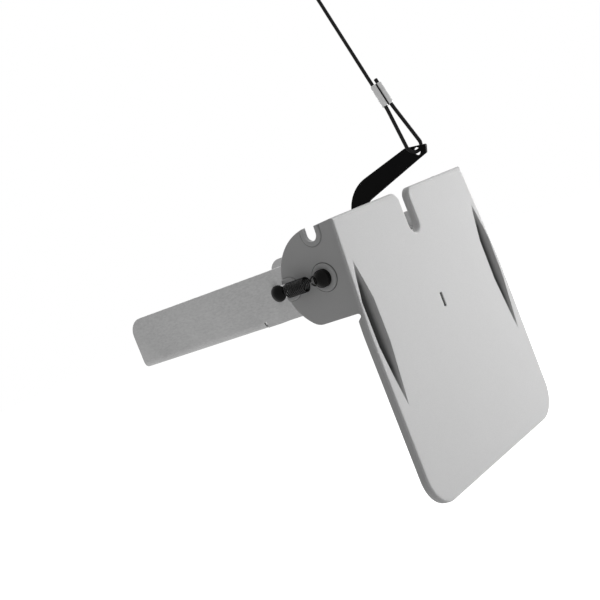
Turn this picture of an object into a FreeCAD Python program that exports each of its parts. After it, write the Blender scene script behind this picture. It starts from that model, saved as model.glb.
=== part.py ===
import FreeCAD, Part
import math
import os
import Sketcher
from FreeCAD import Placement, Rotation, Vector

# A trolling plate for a small outboard motor. Two side arms bolt onto the motor's
# anti-ventilation plate. The plate hangs between them from a sprung cross axle, and
# swings up to the rear when the water pushes too hard or the lift cable is pulled.
# +X is starboard, +Y points forward to the boat, +Z is up. The origin is the middle
# of the four bolt slots, on the underside of the arms' flanges. All sizes are in mm.

doc = FreeCAD.newDocument("TrollingPlate")
sheet = doc.addObject("Spreadsheet::Sheet", "Sizes")

SIZES = [
    ("overshoot", 1, "how far a cut runs past the faces it goes through"),
    ("pivot_back", 139, "hinge axis behind the bolt pattern's middle"),
    ("pivot_height", 24, "hinge axis above the flanges' underside"),
    ("ear_radius", 41, "ear's round edge, and top edge above the axis"),
    ("face_back", 26, "rear face behind the hinge axis"),
    ("plate_width", 220, "across the top edge and the ears"),
    ("plate_height", 241, "top edge to bottom edge"),
    ("plate_flare", 8, "how far each side widens below the ears"),
    ("flare_drop", 92, "top edge down to the widest place"),
    ("side_bow", 150, "radius where the flare turns straight"),
    ("corner_round", 28, "bottom corners"),
    ("top_round", 1, "top corners"),
    ("face_wall", 3, "thickness of the face and of its rim"),
    ("rim_depth", 6.5, "rim from the rear face forward"),
    ("slot_width", 15, "slot in the middle of the top edge"),
    ("slot_depth", 37, "top edge to the slot's bottom"),
    ("mouth_round", 9, "slot's mouth"),
    ("rim_gap", 5, "free strip between the top rim and the arms"),
    ("ear_wall", 3, "thickness of an ear"),
    ("ear_drop", 35, "hinge axis down to the ear's lower edge"),
    ("ear_blend", 14, "round between the ear's edge and its lower edge"),
    ("ear_root_round", 3, "small round where ear meets rim"),
    ("notch_seat", 34.6, "hinge axis to the middle of each latch notch"),
    ("notch_turn", 94, "degrees from the front notch up to the raised one"),
    ("notch_width", 10.8, "latch notch"),
    ("notch_rim", 4.2, "width of the raised rim round a notch"),
    ("notch_rise", 1.2, "height of that rim"),
    ("ring_radius", 11.5, "raised ring round the hinge bore"),
    ("ring_rise", 1.5, "height of that ring"),
    ("groove_spread", 104, "each stiffening groove's valley from the middle"),
    ("groove_top", 4, "upper tip above the hinge axis"),
    ("groove_length", 119, "tip to tip"),
    ("groove_taper", 32, "length of the taper at the upper end"),
    ("groove_tail", 51, "length of the taper at the lower end"),
    ("groove_half", 8.5, "half the groove's width in its middle"),
    ("groove_depth", 6.5, "depth of the valley in its middle"),
    ("groove_tip", 0.7, "half width and depth at its tips"),
    ("groove_skin", 0.01, "how far a groove's cut starts behind the face"),
    ("arm_front", 79, "arm's front end ahead of the bolt pattern's middle"),
    ("arm_height", 43.5, "height of an arm's web"),
    ("arm_wall", 2.5, "thickness of an arm's sheet"),
    ("arm_gap", 1.6, "between an ear and its arm"),
    ("arm_joggle", 4, "outward step of the arm ahead of the ear"),
    ("joggle_start", 50, "hinge axis to where the step begins"),
    ("joggle_run", 6, "length of the step"),
    ("joggle_round", 4, "rounds of the step"),
    ("arm_end_round", 20.6, "arm's rear end round the hinge axis"),
    ("arm_nose_round", 14, "upper front corner of an arm"),
    ("bend_round", 2.5, "inside of the bend between web and flange"),
    ("flange_width", 30, "flange measured from the arm's outer face"),
    ("flange_rear", 65, "flange's rear end behind the bolt pattern's middle"),
    ("relief_gap", 3, "bend relief behind the flange"),
    ("bolt_spacing", 90, "fore and aft distance of the bolt slots"),
    ("bolt_inset", 15, "bolt slot's middle from the flange's inner edge"),
    ("bolt_hole", 6.6, "width of a bolt slot"),
    ("bolt_slot", 16, "end to end length of a bolt slot"),
    ("axle_diameter", 10, "cross axle"),
    ("running_fit", 0.05, "radial clearance of a running fit"),
    ("press_gap", 0.02, "radial clearance of a pressed or crimped fit"),
    ("seat_gap", 0.2, "side clearance of washers and bushes"),
    ("release_travel", 11, "how far the axle slides back to unlatch"),
    ("bush_wall", 2, "wall of a hinge bush"),
    ("bush_flange", 1.2, "thickness of the bush's flange"),
    ("bush_flange_radius", 10, "bush's flange"),
    ("neck_diameter", 6, "neck that carries a spring's hook"),
    ("neck_length", 1.9, "length of that neck"),
    ("spigot_length", 3, "spigot inside a cap"),
    ("cap_diameter", 14.4, "domed cap on the axle's ends"),
    ("cap_height", 5.2, "height of that cap"),
    ("cap_shoulder", 1.8, "straight part of a cap's height"),
    ("cap_blind", 0.1, "gap behind the spigot in a cap"),
    ("cap_bands", 4, "conical bands of a cap's dome"),
    ("stud_cap_diameter", 13.6, "domed cap on the latch studs"),
    ("washer_radius", 9, "washer on the axle beside each arm"),
    ("washer_wall", 1.2, "thickness of that washer"),
    ("clip_radius", 8, "retaining clip on the axle"),
    ("clip_wall", 1, "thickness of the clip"),
    ("clip_groove", 8.4, "diameter at the bottom of the clip's groove"),
    ("clip_opening", 70, "degrees of the clip's gap"),
    ("stud_diameter", 6, "latch stud"),
    ("stud_gap", 0.3, "between the stud and the ear's round edge"),
    ("stud_shoulder", 1.2, "thickness of the stud's shoulder"),
    ("stud_shoulder_radius", 5.5, "stud's shoulder"),
    ("stud_neck", 4.8, "neck on a latch stud that carries the spring's hook"),
    ("stud_tail", 7.5, "stud behind the arm's inner face"),
    ("nut_flats", 10, "across the flats of a stud's nut"),
    ("nut_height", 5, "height of that nut"),
    ("stud_washer_radius", 6.4, "washer under the nut"),
    ("stud_washer_wall", 1, "thickness of that washer"),
    ("tube_flats", 8, "flats round a wire's or rope's section"),
    ("wire_diameter", 1.2, "spring wire"),
    ("coil_diameter", 11, "outside of the coil"),
    ("coil_start", 13, "coil's rear end ahead of the hinge axis"),
    ("hook_slack", 0.15, "clearance of a spring's hook round its post"),
    ("hook_turn", 300, "degrees that a hook goes round its post"),
    ("lever_wall", 3.2, "thickness of the lever"),
    ("lever_width", 19, "width of the lever at the axle"),
    ("lever_knee_ahead", 20.7, "lever's outer knee ahead of the hinge axis"),
    ("lever_knee_up", 56.6, "lever's outer knee above the axis"),
    ("lever_knee_round", 34, "round of the outer knee"),
    ("lever_bow_ahead", 31.2, "foremost corner of the outer edge ahead of the axis"),
    ("lever_bow_up", 27.6, "the same corner above the axis"),
    ("lever_bow_round", 20, "its round"),
    ("lever_crook_ahead", 11, "lever's inner knee ahead of the axis"),
    ("lever_crook_up", 40.1, "lever's inner knee above the axis"),
    ("lever_crook_round", 10, "both rounds of the inner edge"),
    ("lever_inner_ahead", 12.5, "foremost corner of the inner edge ahead of the axis"),
    ("lever_inner_up", 28, "the same corner above the axis"),
    ("lever_crook_foot", 4, "axis up to where the bar leans forward"),
    ("lever_heel_drop", 12, "axis down to where the rear edge leans back to the face"),
    ("lever_front_drop", 4, "axis down to where the front edge leans back to the face"),
    ("lever_heel_round", 25, "rounds below the axle"),
    ("lever_crook_ease", 20, "round where the bar leans forward"),
    ("lever_seat_over", 9, "how far the lever rests on the face above and below its tab"),
    ("lever_seat_round", 2, "rounds at the ends of that seat"),
    ("lever_toe_round", 8, "round below the seat"),
    ("lever_toe_drop", 5, "tab's lower end down to that round"),
    ("tip_under_ahead", 1.4, "lever's tip: under corner ahead of the eyelet"),
    ("tip_under_drop", 6.4, "the same corner below the eyelet"),
    ("tip_under_round", 3, "its round"),
    ("tip_low_back", 7.4, "lever's tip: lower end corner behind the eyelet"),
    ("tip_low_drop", 3.9, "the same corner below the eyelet"),
    ("tip_high_back", 9.9, "lever's tip: upper end corner behind the eyelet"),
    ("tip_high_rise", 3.1, "the same corner above the eyelet"),
    ("tip_end_round", 1.2, "rounds of both end corners"),
    ("tip_top_ahead", 10.1, "lever's tip: top corner ahead of the eyelet"),
    ("tip_top_rise", 6, "the same corner above the eyelet"),
    ("tip_top_round", 4, "its round"),
    ("lever_fit", 0.1, "clearance of the lever's tab in its slit"),
    ("tab_drop", 51, "hinge axis down to the upper end of the tab"),
    ("tab_length", 12, "length of the tab"),
    ("eyelet_back", 53.7, "cable eyelet behind the hinge axis"),
    ("eyelet_height", 65.3, "cable eyelet above the hinge axis"),
    ("eyelet_diameter", 6.6, "hole of the cable eyelet"),
    ("collar_radius", 9, "collar beside the lever"),
    ("collar_length", 8, "length of a collar"),
    ("cable_diameter", 2.7, "lift cable"),
    ("cable_lean", 13, "degrees that the cable leans forward"),
    ("eye_turn", 35, "degrees that the eye is turned about the cable"),
    ("eye_bend", 6.5, "radius of the eye's round end"),
    ("eye_length", 45, "eyelet to the ferrule"),
    ("eye_ease", 12, "length over which a leg bends into the ferrule"),
    ("ferrule_length", 20, "ferrule"),
    ("ferrule_barrel", 5.4, "outside of one of its two barrels"),
    ("ferrule_merge", 0.2, "how far its two barrels run into each other"),
    ("ferrule_waist", 0.8, "its waist as a share of a barrel"),
    ("tail_length", 4, "cut end that stands out of the ferrule"),
    ("cable_run", 95, "tight cable between the two ferrules"),
]
for row, (alias, value, meaning) in enumerate(SIZES, start=1):
    sheet.set(f"A{row}", meaning)
    sheet.set(f"B{row}", str(value))
    sheet.setAlias(f"B{row}", alias)
doc.recompute()


def size(alias):
    return float(sheet.get(alias))


# Places that several pieces share, worked out once. Most are measured from the hinge
# axis, because the plate and the hinge hang on it. "out" is the distance from the
# middle plane, the same on both sides.
EAR_OUT = size("plate_width") / 2
EAR_IN = EAR_OUT - size("ear_wall")
RING_OUT = EAR_OUT + size("ring_rise")
WEB_OUT = EAR_IN - size("arm_gap")
WEB_IN = WEB_OUT - size("arm_wall")
FRONT_OUT = WEB_OUT + size("arm_joggle")
NECK_START = RING_OUT + size("seat_gap")
NECK_END = NECK_START + size("neck_length")
SPIGOT_END = NECK_END + size("spigot_length")
HOOK_OUT = (NECK_START + NECK_END) / 2
AXLE_RADIUS = size("axle_diameter") / 2
STUD_AHEAD = size("ear_radius") + size("stud_gap") + size("stud_diameter") / 2
FACE_FRONT = -size("face_back") + size("face_wall")
RIM_FRONT = -size("face_back") + size("rim_depth")
PLATE_FOOT = size("ear_radius") - size("plate_height")
CABLE_APART = size("ferrule_barrel") / 2 - size("ferrule_merge") / 2
SIDES = {"port": -1, "starboard": 1}


# Small helpers for bodies, sketches and outlines

def at_hinge(item, out=0, ahead=0, turn=None):
    # Puts an object on the hinge axis, or level with it further out or ahead
    item.Placement = Placement(Vector(), turn or Rotation())
    item.setExpression("Placement.Base.x", f"{out} * 1 mm")
    item.setExpression("Placement.Base.y", f"({ahead} - Sizes.pivot_back) * 1 mm")
    item.setExpression("Placement.Base.z", "Sizes.pivot_height * 1 mm")


def new_body(name):
    body = doc.addObject("PartDesign::Body", name)
    body.Label = name
    return body


def new_sketch(body, name, role, offset="0"):
    sketch = body.newObject("Sketcher::SketchObject", f"{body.Name}_{name}")
    plane = next(f for f in body.Origin.OriginFeatures if f.Role == role)
    sketch.AttachmentSupport = [(plane, "")]
    sketch.MapMode = "FlatFace"
    sketch.setExpression(".AttachmentOffset.Base.z", f"({offset}) * 1 mm")
    return sketch


def rounded(corners):
    # A closed outline from (x, y, radius) corners, with a tangent arc at each radius
    spots = [Vector(x, y, 0) for x, y, radius in corners]
    parts = []
    for index, (x, y, radius) in enumerate(corners):
        here = spots[index]
        if radius == 0:
            parts.append((here, None, here))
            continue
        back = (spots[index - 1] - here).normalize()
        on = (spots[(index + 1) % len(spots)] - here).normalize()
        half = back.getAngle(on) / 2
        reach = radius / math.tan(half)
        middle = here + (back + on).normalize() * (radius / math.sin(half) - radius)
        parts.append((here + back * reach, middle, here + on * reach))
    edges = []
    for index, (start, middle, end) in enumerate(parts):
        if middle is not None:
            edges.append(Part.Arc(start, middle, end))
        following = parts[(index + 1) % len(parts)][0]
        if (following - end).Length > 1e-6:
            edges.append(Part.LineSegment(end, following))
    return edges


def fill_sketch(sketch, edges):
    sketch.addGeometry(edges, False)


def circle_sketch(sketch, x, y, radius_expression, radius):
    index = sketch.addGeometry(Part.Circle(Vector(x, y, 0), Vector(0, 0, 1), radius), False)
    sketch.addConstraint(Sketcher.Constraint("Radius", index, radius))
    last = sketch.ConstraintCount - 1
    sketch.setExpression(f"Constraints[{last}]", f"({radius_expression}) * 1 mm")


def pad(body, sketch, length, backward=False):
    feature = body.newObject("PartDesign::Pad", f"{sketch.Name}_pad")
    feature.Profile = sketch
    feature.setExpression("Length", f"({length}) * 1 mm")
    feature.Reversed = backward
    return feature


def pocket(body, sketch, length, backward=False):
    feature = body.newObject("PartDesign::Pocket", f"{sketch.Name}_pocket")
    feature.Profile = sketch
    feature.setExpression("Length", f"({length}) * 1 mm")
    feature.Reversed = backward
    return feature


def loft(body, kind, name, sketches):
    feature = body.newObject(f"PartDesign::{kind}", f"{body.Name}_{name}")
    feature.Profile = sketches[0]
    feature.Sections = sketches[1:]
    feature.Ruled = True
    return feature


def turned(name, profile, ahead=0, side=1):
    # A turned piece: profile holds (out, radius) points, turned about the X direction
    body = new_body(name)
    sketch = new_sketch(body, "profile", "XY_Plane")
    corners = [(side * out, radius, 0) for out, radius in profile]
    fill_sketch(sketch, rounded(corners))
    feature = body.newObject("PartDesign::Revolution", f"{name}_turn")
    feature.Profile = sketch
    feature.ReferenceAxis = (sketch, ["H_Axis"])
    feature.Angle = 360
    at_hinge(body, ahead=ahead)
    return body


# The plate: a dished face with a rim, two ears, stiffening grooves and a slot

def plate_outline(inset):
    # Outline of the plate, or of its hollow when inset by the wall
    top = size("ear_radius") - inset
    foot = PLATE_FOOT + inset
    half = size("plate_width") / 2 - inset
    wide = half + size("plate_flare")
    flare = size("ear_radius") - size("flare_drop")
    slot = size("slot_width") / 2 + inset
    slot_foot = size("ear_radius") - size("slot_depth") - inset
    mouth = size("mouth_round") - inset
    corner = size("corner_round") - inset
    bow = size("side_bow")
    right = [
        (slot, slot_foot, slot),
        (slot, top, mouth),
        (half, top, size("top_round")),
        (wide, flare, bow),
        (wide, foot, corner),
    ]
    left = [(-x, z, radius) for x, z, radius in reversed(right)]
    return rounded(right + left)


def groove_section(side, half, depth, start):
    middle = side * size("groove_spread")
    return rounded([
        (middle - half, start, 0),
        (middle + half, start, 0),
        (middle, start + depth, 0),
    ])


def groove(body, kind, side, name, start, extra):
    # A long shallow V with pointed ends, lofted through four triangles
    upper = size("groove_top")
    stations = [
        (upper + extra, size("groove_tip") + extra),
        (upper - size("groove_taper"), None),
        (upper - size("groove_length") + size("groove_tail"), None),
        (upper - size("groove_length") - extra, size("groove_tip") + extra),
    ]
    sketches = []
    for index, (height, tip) in enumerate(stations):
        sketch = new_sketch(body, f"{name}_{index}", "XY_Plane", f"{height}")
        half = tip if tip else size("groove_half") + extra
        depth = tip if tip else size("groove_depth") + extra
        depth = depth - size("face_back") - start
        fill_sketch(sketch, groove_section(side, half, depth, start))
        sketches.append(sketch)
    loft(body, kind, name, sketches)


def ear_outline():
    # The ear's edge is round about the hinge axis and ends in a straight lower edge
    radius = size("ear_radius")
    blend = size("ear_blend")
    low = -size("ear_drop")
    root = -size("face_back") + size("face_wall") / 2
    corner = size("ear_root_round")
    reach = radius - blend
    lift = low + blend
    ahead = math.sqrt(reach ** 2 - lift ** 2)
    turn = math.atan2(lift, ahead)
    edge_end = Vector(radius * math.cos(turn), radius * math.sin(turn), 0)
    halfway = math.radians(90) + (turn - math.radians(90)) / 2
    edge_middle = Vector(radius * math.cos(halfway), radius * math.sin(halfway), 0)
    lower = (turn - math.radians(90)) / 2
    blend_middle = Vector(ahead + blend * math.cos(lower), lift + blend * math.sin(lower), 0)
    blend_end = Vector(ahead, low, 0)
    root_start = Vector(RIM_FRONT + corner, low, 0)
    dip = corner * (1 - math.sqrt(0.5))
    root_middle = Vector(RIM_FRONT + dip, low - dip, 0)
    root_end = Vector(RIM_FRONT, low - corner, 0)
    return [
        Part.LineSegment(Vector(root, radius, 0), Vector(0, radius, 0)),
        Part.Arc(Vector(0, radius, 0), edge_middle, edge_end),
        Part.Arc(edge_end, blend_middle, blend_end),
        Part.LineSegment(blend_end, root_start),
        Part.Arc(root_start, root_middle, root_end),
        Part.LineSegment(root_end, Vector(root, low - corner, 0)),
        Part.LineSegment(Vector(root, low - corner, 0), Vector(root, radius, 0)),
    ]


def notch_outline(degrees, half, reach):
    # A U that opens outward: round about the seat, straight to the given reach
    turn = Rotation(Vector(0, 0, 1), degrees)
    seat = size("notch_seat")
    spots = [Vector(reach, half, 0), Vector(seat, half, 0), Vector(seat - half, 0, 0)]
    spots += [Vector(seat, -half, 0), Vector(reach, -half, 0), Vector(math.hypot(reach, half), 0, 0)]
    mouth_a, round_a, round_b, round_c, mouth_b, crown = [turn.multVec(spot) for spot in spots]
    return [
        Part.LineSegment(mouth_a, round_a),
        Part.Arc(round_a, round_b, round_c),
        Part.LineSegment(round_c, mouth_b),
        Part.Arc(mouth_b, crown, mouth_a),
    ]


def make_plate():
    body = new_body("trolling_plate")
    blank = new_sketch(body, "blank", "XZ_Plane", "Sizes.face_back")
    fill_sketch(blank, plate_outline(0))
    pad(body, blank, "Sizes.rim_depth", backward=True)

    hollow = new_sketch(body, "hollow", "XZ_Plane", "Sizes.face_back - Sizes.rim_depth")
    fill_sketch(hollow, plate_outline(size("face_wall")))
    pocket(body, hollow, "Sizes.rim_depth - Sizes.face_wall", backward=True)

    # The rim stops short of the arms at the top, and the ears take its place at the sides
    shoulder = new_sketch(body, "shoulder", "XZ_Plane", "Sizes.face_back - Sizes.rim_depth")
    clear = WEB_IN - size("rim_gap")
    beyond = EAR_OUT + size("plate_flare") + size("face_wall")
    high = size("ear_radius") + size("overshoot")
    under = size("ear_radius") - size("face_wall") - size("overshoot")
    low = -size("ear_drop")
    for side in SIDES.values():
        corners = [(side * clear, high), (side * clear, under), (side * EAR_IN, under)]
        corners += [(side * EAR_IN, low), (side * beyond, low), (side * beyond, high)]
        fill_sketch(shoulder, rounded([(x, z, 0) for x, z in corners]))
    pocket(body, shoulder, "Sizes.rim_depth - Sizes.face_wall", backward=True)

    for name, side in SIDES.items():
        ear = new_sketch(body, f"{name}_ear", "YZ_Plane", f"{side} * Sizes.plate_width / 2")
        fill_sketch(ear, ear_outline())
        pad(body, ear, "Sizes.ear_wall", backward=side > 0)

        ring = new_sketch(body, f"{name}_ring", "YZ_Plane", f"{side} * Sizes.plate_width / 2")
        circle_sketch(ring, 0, 0, "Sizes.ring_radius", size("ring_radius"))
        pad(body, ring, "Sizes.ring_rise", backward=side < 0)

        rims = new_sketch(body, f"{name}_rims", "YZ_Plane", f"{side} * Sizes.plate_width / 2")
        rim_half = size("notch_width") / 2 + size("notch_rim")
        edge = math.sqrt(size("ear_radius") ** 2 - rim_half ** 2)
        for degrees in (0, size("notch_turn")):
            fill_sketch(rims, notch_outline(degrees, rim_half, edge))
        pad(body, rims, "Sizes.notch_rise", backward=side < 0)

        cuts = new_sketch(body, f"{name}_cuts", "YZ_Plane",
                          f"{side} * (Sizes.plate_width / 2 + Sizes.ring_rise + Sizes.overshoot)")
        for degrees in (0, size("notch_turn")):
            outline = notch_outline(degrees, size("notch_width") / 2, size("ear_radius") + size("notch_rim"))
            fill_sketch(cuts, outline)
        bush = size("axle_diameter") / 2 + size("running_fit") + size("bush_wall")
        bush_expression = "Sizes.axle_diameter / 2 + Sizes.running_fit + Sizes.bush_wall + Sizes.press_gap"
        circle_sketch(cuts, 0, 0, bush_expression, bush)
        pocket(body, cuts, "Sizes.ear_wall + Sizes.ring_rise + 2 * Sizes.overshoot", backward=side < 0)

    wall = size("face_wall")
    for name, side in SIDES.items():
        groove(body, "AdditiveLoft", side, f"{name}_rib", FACE_FRONT - wall / 2, wall)
        groove(body, "SubtractiveLoft", side, f"{name}_groove", -size("face_back") - size("groove_skin"), 0)

    slit = new_sketch(body, "slit", "XZ_Plane", "Sizes.face_back + Sizes.overshoot")
    half = size("lever_wall") / 2 + size("lever_fit")
    upper = -size("tab_drop") + size("lever_fit")
    lower = -size("tab_drop") - size("tab_length") - size("lever_fit")
    fill_sketch(slit, rounded([(-half, upper, 0), (half, upper, 0), (half, lower, 0), (-half, lower, 0)]))
    pocket(body, slit, "Sizes.face_wall + 2 * Sizes.overshoot")
    at_hinge(body)
    return body


# The lever: a flat bar on the middle plane, from its tab in the face to the cable eyelet

def lever_outline():
    half = size("lever_width") / 2
    seat = FACE_FRONT + size("seat_gap") / 2
    back = -size("face_back")
    tab_top = -size("tab_drop")
    tab_foot = tab_top - size("tab_length")
    over = size("lever_seat_over")
    eyelet = Vector(-size("eyelet_back"), size("eyelet_height"), 0)
    return rounded([
        (back, tab_foot, 0),
        (back, tab_top, 0),
        (seat, tab_top, 0),
        (seat, tab_top + over, size("lever_seat_round")),
        (-half, -size("lever_heel_drop"), size("lever_heel_round")),
        (-half, size("lever_crook_foot"), size("lever_crook_ease")),
        (size("lever_inner_ahead"), size("lever_inner_up"), size("lever_crook_round")),
        (size("lever_crook_ahead"), size("lever_crook_up"), size("lever_crook_round")),
        (eyelet.x + size("tip_under_ahead"), eyelet.y - size("tip_under_drop"), size("tip_under_round")),
        (eyelet.x - size("tip_low_back"), eyelet.y - size("tip_low_drop"), size("tip_end_round")),
        (eyelet.x - size("tip_high_back"), eyelet.y + size("tip_high_rise"), size("tip_end_round")),
        (eyelet.x + size("tip_top_ahead"), eyelet.y + size("tip_top_rise"), size("tip_top_round")),
        (size("lever_knee_ahead"), size("lever_knee_up"), size("lever_knee_round")),
        (size("lever_bow_ahead"), size("lever_bow_up"), size("lever_bow_round")),
        (half, -size("lever_front_drop"), size("lever_heel_round")),
        (-half, tab_foot - size("lever_toe_drop"), size("lever_toe_round")),
        (seat, tab_foot - over, size("lever_seat_round")),
        (seat, tab_foot, 0),
    ])


def make_lever():
    body = new_body("lever")
    bar = new_sketch(body, "bar", "YZ_Plane", "-Sizes.lever_wall / 2")
    fill_sketch(bar, lever_outline())
    pad(body, bar, "Sizes.lever_wall")
    holes = new_sketch(body, "holes", "YZ_Plane", "Sizes.lever_wall / 2 + Sizes.overshoot")
    bore = AXLE_RADIUS + size("running_fit")
    circle_sketch(holes, 0, 0, "Sizes.axle_diameter / 2 + Sizes.running_fit", bore)
    circle_sketch(holes, -size("eyelet_back"), size("eyelet_height"),
                  "Sizes.eyelet_diameter / 2", size("eyelet_diameter") / 2)
    pocket(body, holes, "Sizes.lever_wall + 2 * Sizes.overshoot")
    at_hinge(body)
    return body


# The arms: bent sheet with a joggle ahead of the ears and a flange with bolt slots

def make_port_arm():
    body = new_body("port_arm")
    wall = size("arm_wall")
    rear = -size("pivot_back") - size("arm_end_round")
    step = -size("pivot_back") + size("joggle_start")
    run = size("joggle_run")
    front = size("arm_front")
    lag = wall * math.tan(math.atan2(size("arm_joggle"), run) / 2)
    soft = size("joggle_round")
    web = new_sketch(body, "web", "XY_Plane")
    fill_sketch(web, rounded([
        (-WEB_OUT, rear, 0),
        (-WEB_OUT, step, soft),
        (-FRONT_OUT, step + run, soft),
        (-FRONT_OUT, front, 0),
        (-FRONT_OUT + wall, front, 0),
        (-FRONT_OUT + wall, step + run - lag, soft),
        (-WEB_OUT + wall, step - lag, soft),
        (-WEB_OUT + wall, rear, 0),
    ]))
    pad(body, web, "Sizes.arm_height")

    # Side view: the rear end is round about the hinge axis, the nose has one round corner
    cut = size("overshoot")
    high = size("arm_height")
    end = size("arm_end_round")
    axis = Vector(-size("pivot_back"), size("pivot_height"), 0)
    over = high - axis.y
    run_out = math.sqrt(end ** 2 - over ** 2)
    heel = math.radians(225)
    heel_spot = axis + Vector(end * math.cos(heel), end * math.sin(heel), 0)
    toe = Vector(heel_spot.x + heel_spot.y, 0, 0)
    trim = new_sketch(body, "rear_trim", "YZ_Plane", "-Sizes.plate_width")
    fill_sketch(trim, [
        Part.LineSegment(Vector(rear - cut, high + cut, 0), Vector(axis.x - run_out, high + cut, 0)),
        Part.LineSegment(Vector(axis.x - run_out, high + cut, 0), Vector(axis.x - run_out, high, 0)),
        Part.Arc(Vector(axis.x - run_out, high, 0), axis + Vector(-end, 0, 0), heel_spot),
        Part.LineSegment(heel_spot, toe),
        Part.LineSegment(toe, Vector(toe.x, -cut, 0)),
        Part.LineSegment(Vector(toe.x, -cut, 0), Vector(rear - cut, -cut, 0)),
        Part.LineSegment(Vector(rear - cut, -cut, 0), Vector(rear - cut, high + cut, 0)),
    ])
    pocket(body, trim, "Sizes.plate_width", backward=True)

    nose = size("arm_nose_round")
    dip = nose * (1 - math.sqrt(0.5))
    nose_trim = new_sketch(body, "nose_trim", "YZ_Plane", "-Sizes.plate_width")
    fill_sketch(nose_trim, [
        Part.Arc(Vector(front - nose, high, 0), Vector(front - dip, high - dip, 0), Vector(front, high - nose, 0)),
        Part.LineSegment(Vector(front, high - nose, 0), Vector(front + cut, high - nose, 0)),
        Part.LineSegment(Vector(front + cut, high - nose, 0), Vector(front + cut, high + cut, 0)),
        Part.LineSegment(Vector(front + cut, high + cut, 0), Vector(front - nose, high + cut, 0)),
        Part.LineSegment(Vector(front - nose, high + cut, 0), Vector(front - nose, high, 0)),
    ])
    pocket(body, nose_trim, "Sizes.plate_width", backward=True)

    # The web's foot makes room for the bend, with a relief gap behind the flange
    bend = size("bend_round")
    outer = bend + wall
    foot_trim = new_sketch(body, "foot_trim", "YZ_Plane", "-Sizes.plate_width")
    back = -size("flange_rear")
    fill_sketch(foot_trim, rounded([
        (back - size("relief_gap"), -cut, 0),
        (back - size("relief_gap"), outer, 0),
        (front + cut, outer, 0),
        (front + cut, -cut, 0),
    ]))
    pocket(body, foot_trim, "Sizes.plate_width", backward=True)

    flange = new_sketch(body, "flange", "XZ_Plane", "Sizes.flange_rear")
    inner_edge = -FRONT_OUT + size("flange_width")
    fill_sketch(flange, rounded([
        (-FRONT_OUT, outer + cut, 0),
        (-FRONT_OUT, 0, outer),
        (inner_edge, 0, 0),
        (inner_edge, wall, 0),
        (-FRONT_OUT + wall, wall, bend),
        (-FRONT_OUT + wall, outer + cut, 0),
    ]))
    pad(body, flange, "Sizes.arm_front + Sizes.flange_rear", backward=True)

    # Bolt slots through the flange run athwart, the axle's slot and the stud's hole go through the web
    slots = new_sketch(body, "bolt_slots", "XY_Plane", "Sizes.arm_wall + Sizes.overshoot")
    middle = inner_edge - size("bolt_inset")
    half = size("bolt_slot") / 2
    wide = size("bolt_hole") / 2
    for ahead in (-size("bolt_spacing") / 2, size("bolt_spacing") / 2):
        fill_sketch(slots, rounded([
            (middle - half, ahead - wide, wide),
            (middle + half, ahead - wide, wide),
            (middle + half, ahead + wide, wide),
            (middle - half, ahead + wide, wide),
        ]))
    pocket(body, slots, "Sizes.arm_wall + 2 * Sizes.overshoot")

    ways = new_sketch(body, "axle_slot", "YZ_Plane", "-Sizes.plate_width")
    bore = AXLE_RADIUS + size("running_fit")
    travel = size("release_travel")
    fill_sketch(ways, rounded([
        (axis.x - travel - bore, axis.y - bore, bore),
        (axis.x + bore, axis.y - bore, bore),
        (axis.x + bore, axis.y + bore, bore),
        (axis.x - travel - bore, axis.y + bore, bore),
    ]))
    hole = size("stud_diameter") / 2 + size("running_fit")
    circle_sketch(ways, axis.x + STUD_AHEAD, axis.y, "Sizes.stud_diameter / 2 + Sizes.running_fit", hole)
    pocket(body, ways, "Sizes.plate_width", backward=True)
    body.Placement = Placement()
    return body


# Turned pieces of the hinge and the latch

def make_axle():
    groove_out = WEB_IN - size("seat_gap") - size("washer_wall")
    groove_in = groove_out - size("clip_wall")
    half_profile = [
        (groove_in, AXLE_RADIUS), (groove_in, size("clip_groove") / 2),
        (groove_out, size("clip_groove") / 2), (groove_out, AXLE_RADIUS),
        (NECK_START, AXLE_RADIUS), (NECK_START, size("neck_diameter") / 2),
        (SPIGOT_END, size("neck_diameter") / 2),
    ]
    mirrored = [(-out, radius) for out, radius in reversed(half_profile)]
    return turned("cross_axle", [(-SPIGOT_END, 0)] + mirrored + half_profile + [(SPIGOT_END, 0)])


def make_cap(name, side, diameter, ahead):
    # A cap pressed on a spigot: open on the inside, with a dome of a few conical bands
    radius = diameter / 2
    bore = size("neck_diameter") / 2 + size("press_gap")
    blind = SPIGOT_END + size("cap_blind")
    crown = NECK_END + size("cap_height")
    shoulder = NECK_END + size("cap_shoulder")
    rise = crown - shoulder
    dome = (radius ** 2 + rise ** 2) / (2 * rise)
    half_angle = math.asin(radius / dome)
    bands = int(size("cap_bands"))
    turns = [half_angle * (bands - step) / bands for step in range(bands + 1)]
    dome_profile = [(crown - dome + dome * math.cos(turn), dome * math.sin(turn)) for turn in turns]
    profile = [(blind, 0), (blind, bore), (NECK_END, bore), (NECK_END, radius)] + dome_profile
    return turned(name, profile, ahead=ahead, side=side)


def make_bush(name, side):
    bore = AXLE_RADIUS + size("running_fit")
    bush = bore + size("bush_wall")
    flange_in = EAR_IN - size("bush_flange")
    return turned(name, [
        (flange_in, bore), (flange_in, size("bush_flange_radius")),
        (EAR_IN, size("bush_flange_radius")), (EAR_IN, bush),
        (RING_OUT, bush), (RING_OUT, bore),
    ], side=side)


def make_washer(name, side, out, wall, shank, radius, ahead=0):
    loose = shank + size("press_gap")
    return turned(name, [(out - wall, loose), (out - wall, radius), (out, radius), (out, loose)],
                  ahead=ahead, side=side)


FASTENERS = ["axle_washers", "retaining_clips", "axle_caps", "latch_studs", "stud_caps", "stud_washers",
             "stud_nuts"]


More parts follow.
